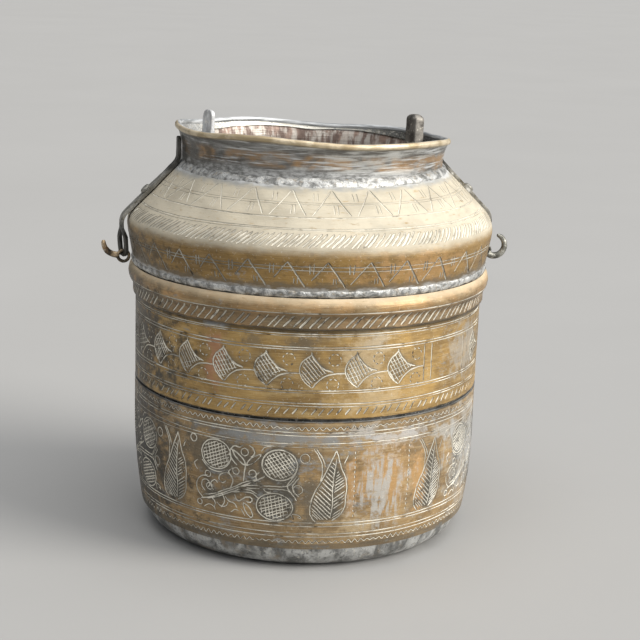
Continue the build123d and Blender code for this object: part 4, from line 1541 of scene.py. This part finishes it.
for node, material in (("middle_floor", floor_tin), ("top_floor", floor_tin), ("bottom_collar", collar_painted_shade),
                       ("strap_rivets", dark_iron)):
    coat_with(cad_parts[node], material)


# Floor, light and camera -----------------------------------------------------------------

def studio_floor():
    """Wide plain floor."""
    size = 60.0
    mesh = bpy.data.meshes.new("floor")
    corners = [(x * size, y * size, 0) for x, y in ((-1, -1), (1, -1), (1, 1), (-1, 1))]
    mesh.from_pydata(corners, [], [[0, 1, 2, 3]])
    f = Finish("studio_floor")
    tone = f.blend(f.grain(300, shift=0.3), (0.33, 0.325, 0.315), (0.36, 0.355, 0.345))
    mesh.materials.append(f.set(tone, 0.0, 0.75))
    in_scene("floor", mesh)


def soft_sun(name, toward, power, spread, colour):
    """Even light over the whole floor from a wide, distant source."""
    data = bpy.data.lights.new(name, "SUN")
    data.energy = power
    data.angle = math.radians(spread)
    data.color = colour
    in_scene(name, data).rotation_euler = Vector(toward).to_track_quat("Z", "Y").to_euler()


def studio_world():
    """Dim all round and brighter towards the ceiling on the right."""
    world = bpy.data.worlds.new("studio")
    bpy.context.scene.world = world
    world.use_nodes = True
    tree = world.node_tree
    coords, toward, strength = (tree.nodes.new(kind) for kind in (
        "ShaderNodeTexCoord", "ShaderNodeVectorMath", "ShaderNodeMapRange"))
    toward.operation = "DOT_PRODUCT"
    toward.inputs[1].default_value = Vector((0.40, -0.22, 0.89))
    for key, value in (("From Min", -0.2), ("From Max", 1.0), ("To Min", 0.06), ("To Max", 0.85)):
        strength.inputs[key].default_value = value
    background = tree.nodes["Background"]
    background.inputs["Color"].default_value = (0.92, 0.95, 1.0, 1.0)
    tree.links.new(coords.outputs["Generated"], toward.inputs[0])
    tree.links.new(toward.outputs["Value"], strength.inputs["Value"])
    tree.links.new(strength.outputs["Result"], background.inputs["Strength"])
    bpy.context.scene.view_settings.view_transform = "Standard"


def photo_camera():
    """Camera where the photograph was taken from, turned, pitched downwards and rolled as it was."""
    turn, pitch, roll = (math.radians(a) for a in (0.4863, 13.3832, 1.7939))
    level = Vector((math.cos(turn), -math.sin(turn), 0))
    ahead = Vector((math.sin(turn) * math.cos(pitch), math.cos(turn) * math.cos(pitch), -math.sin(pitch)))
    upright = level.cross(ahead)
    right = math.cos(roll) * level + math.sin(roll) * upright
    up = math.cos(roll) * upright - math.sin(roll) * level
    data = bpy.data.cameras.new("camera")
    data.sensor_width = 36.0        # with this lens, the focal length is 2.453 picture widths
    data.lens = 88.318
    camera = in_scene("camera", data)
    placed = Matrix((right, up, -ahead)).transposed().to_4x4()
    placed.translation = Vector((0, -1.0215, 0.3787))
    camera.matrix_world = placed
    bpy.context.scene.camera = camera


studio_floor()
studio_world()
soft_sun("key", (0.84, -0.29, 0.47), 3.8, 34, (1.0, 0.97, 0.92))
soft_sun("top", (0.05, -0.22, 1.00), 1.5, 60, (1.0, 0.99, 0.97))
photo_camera()
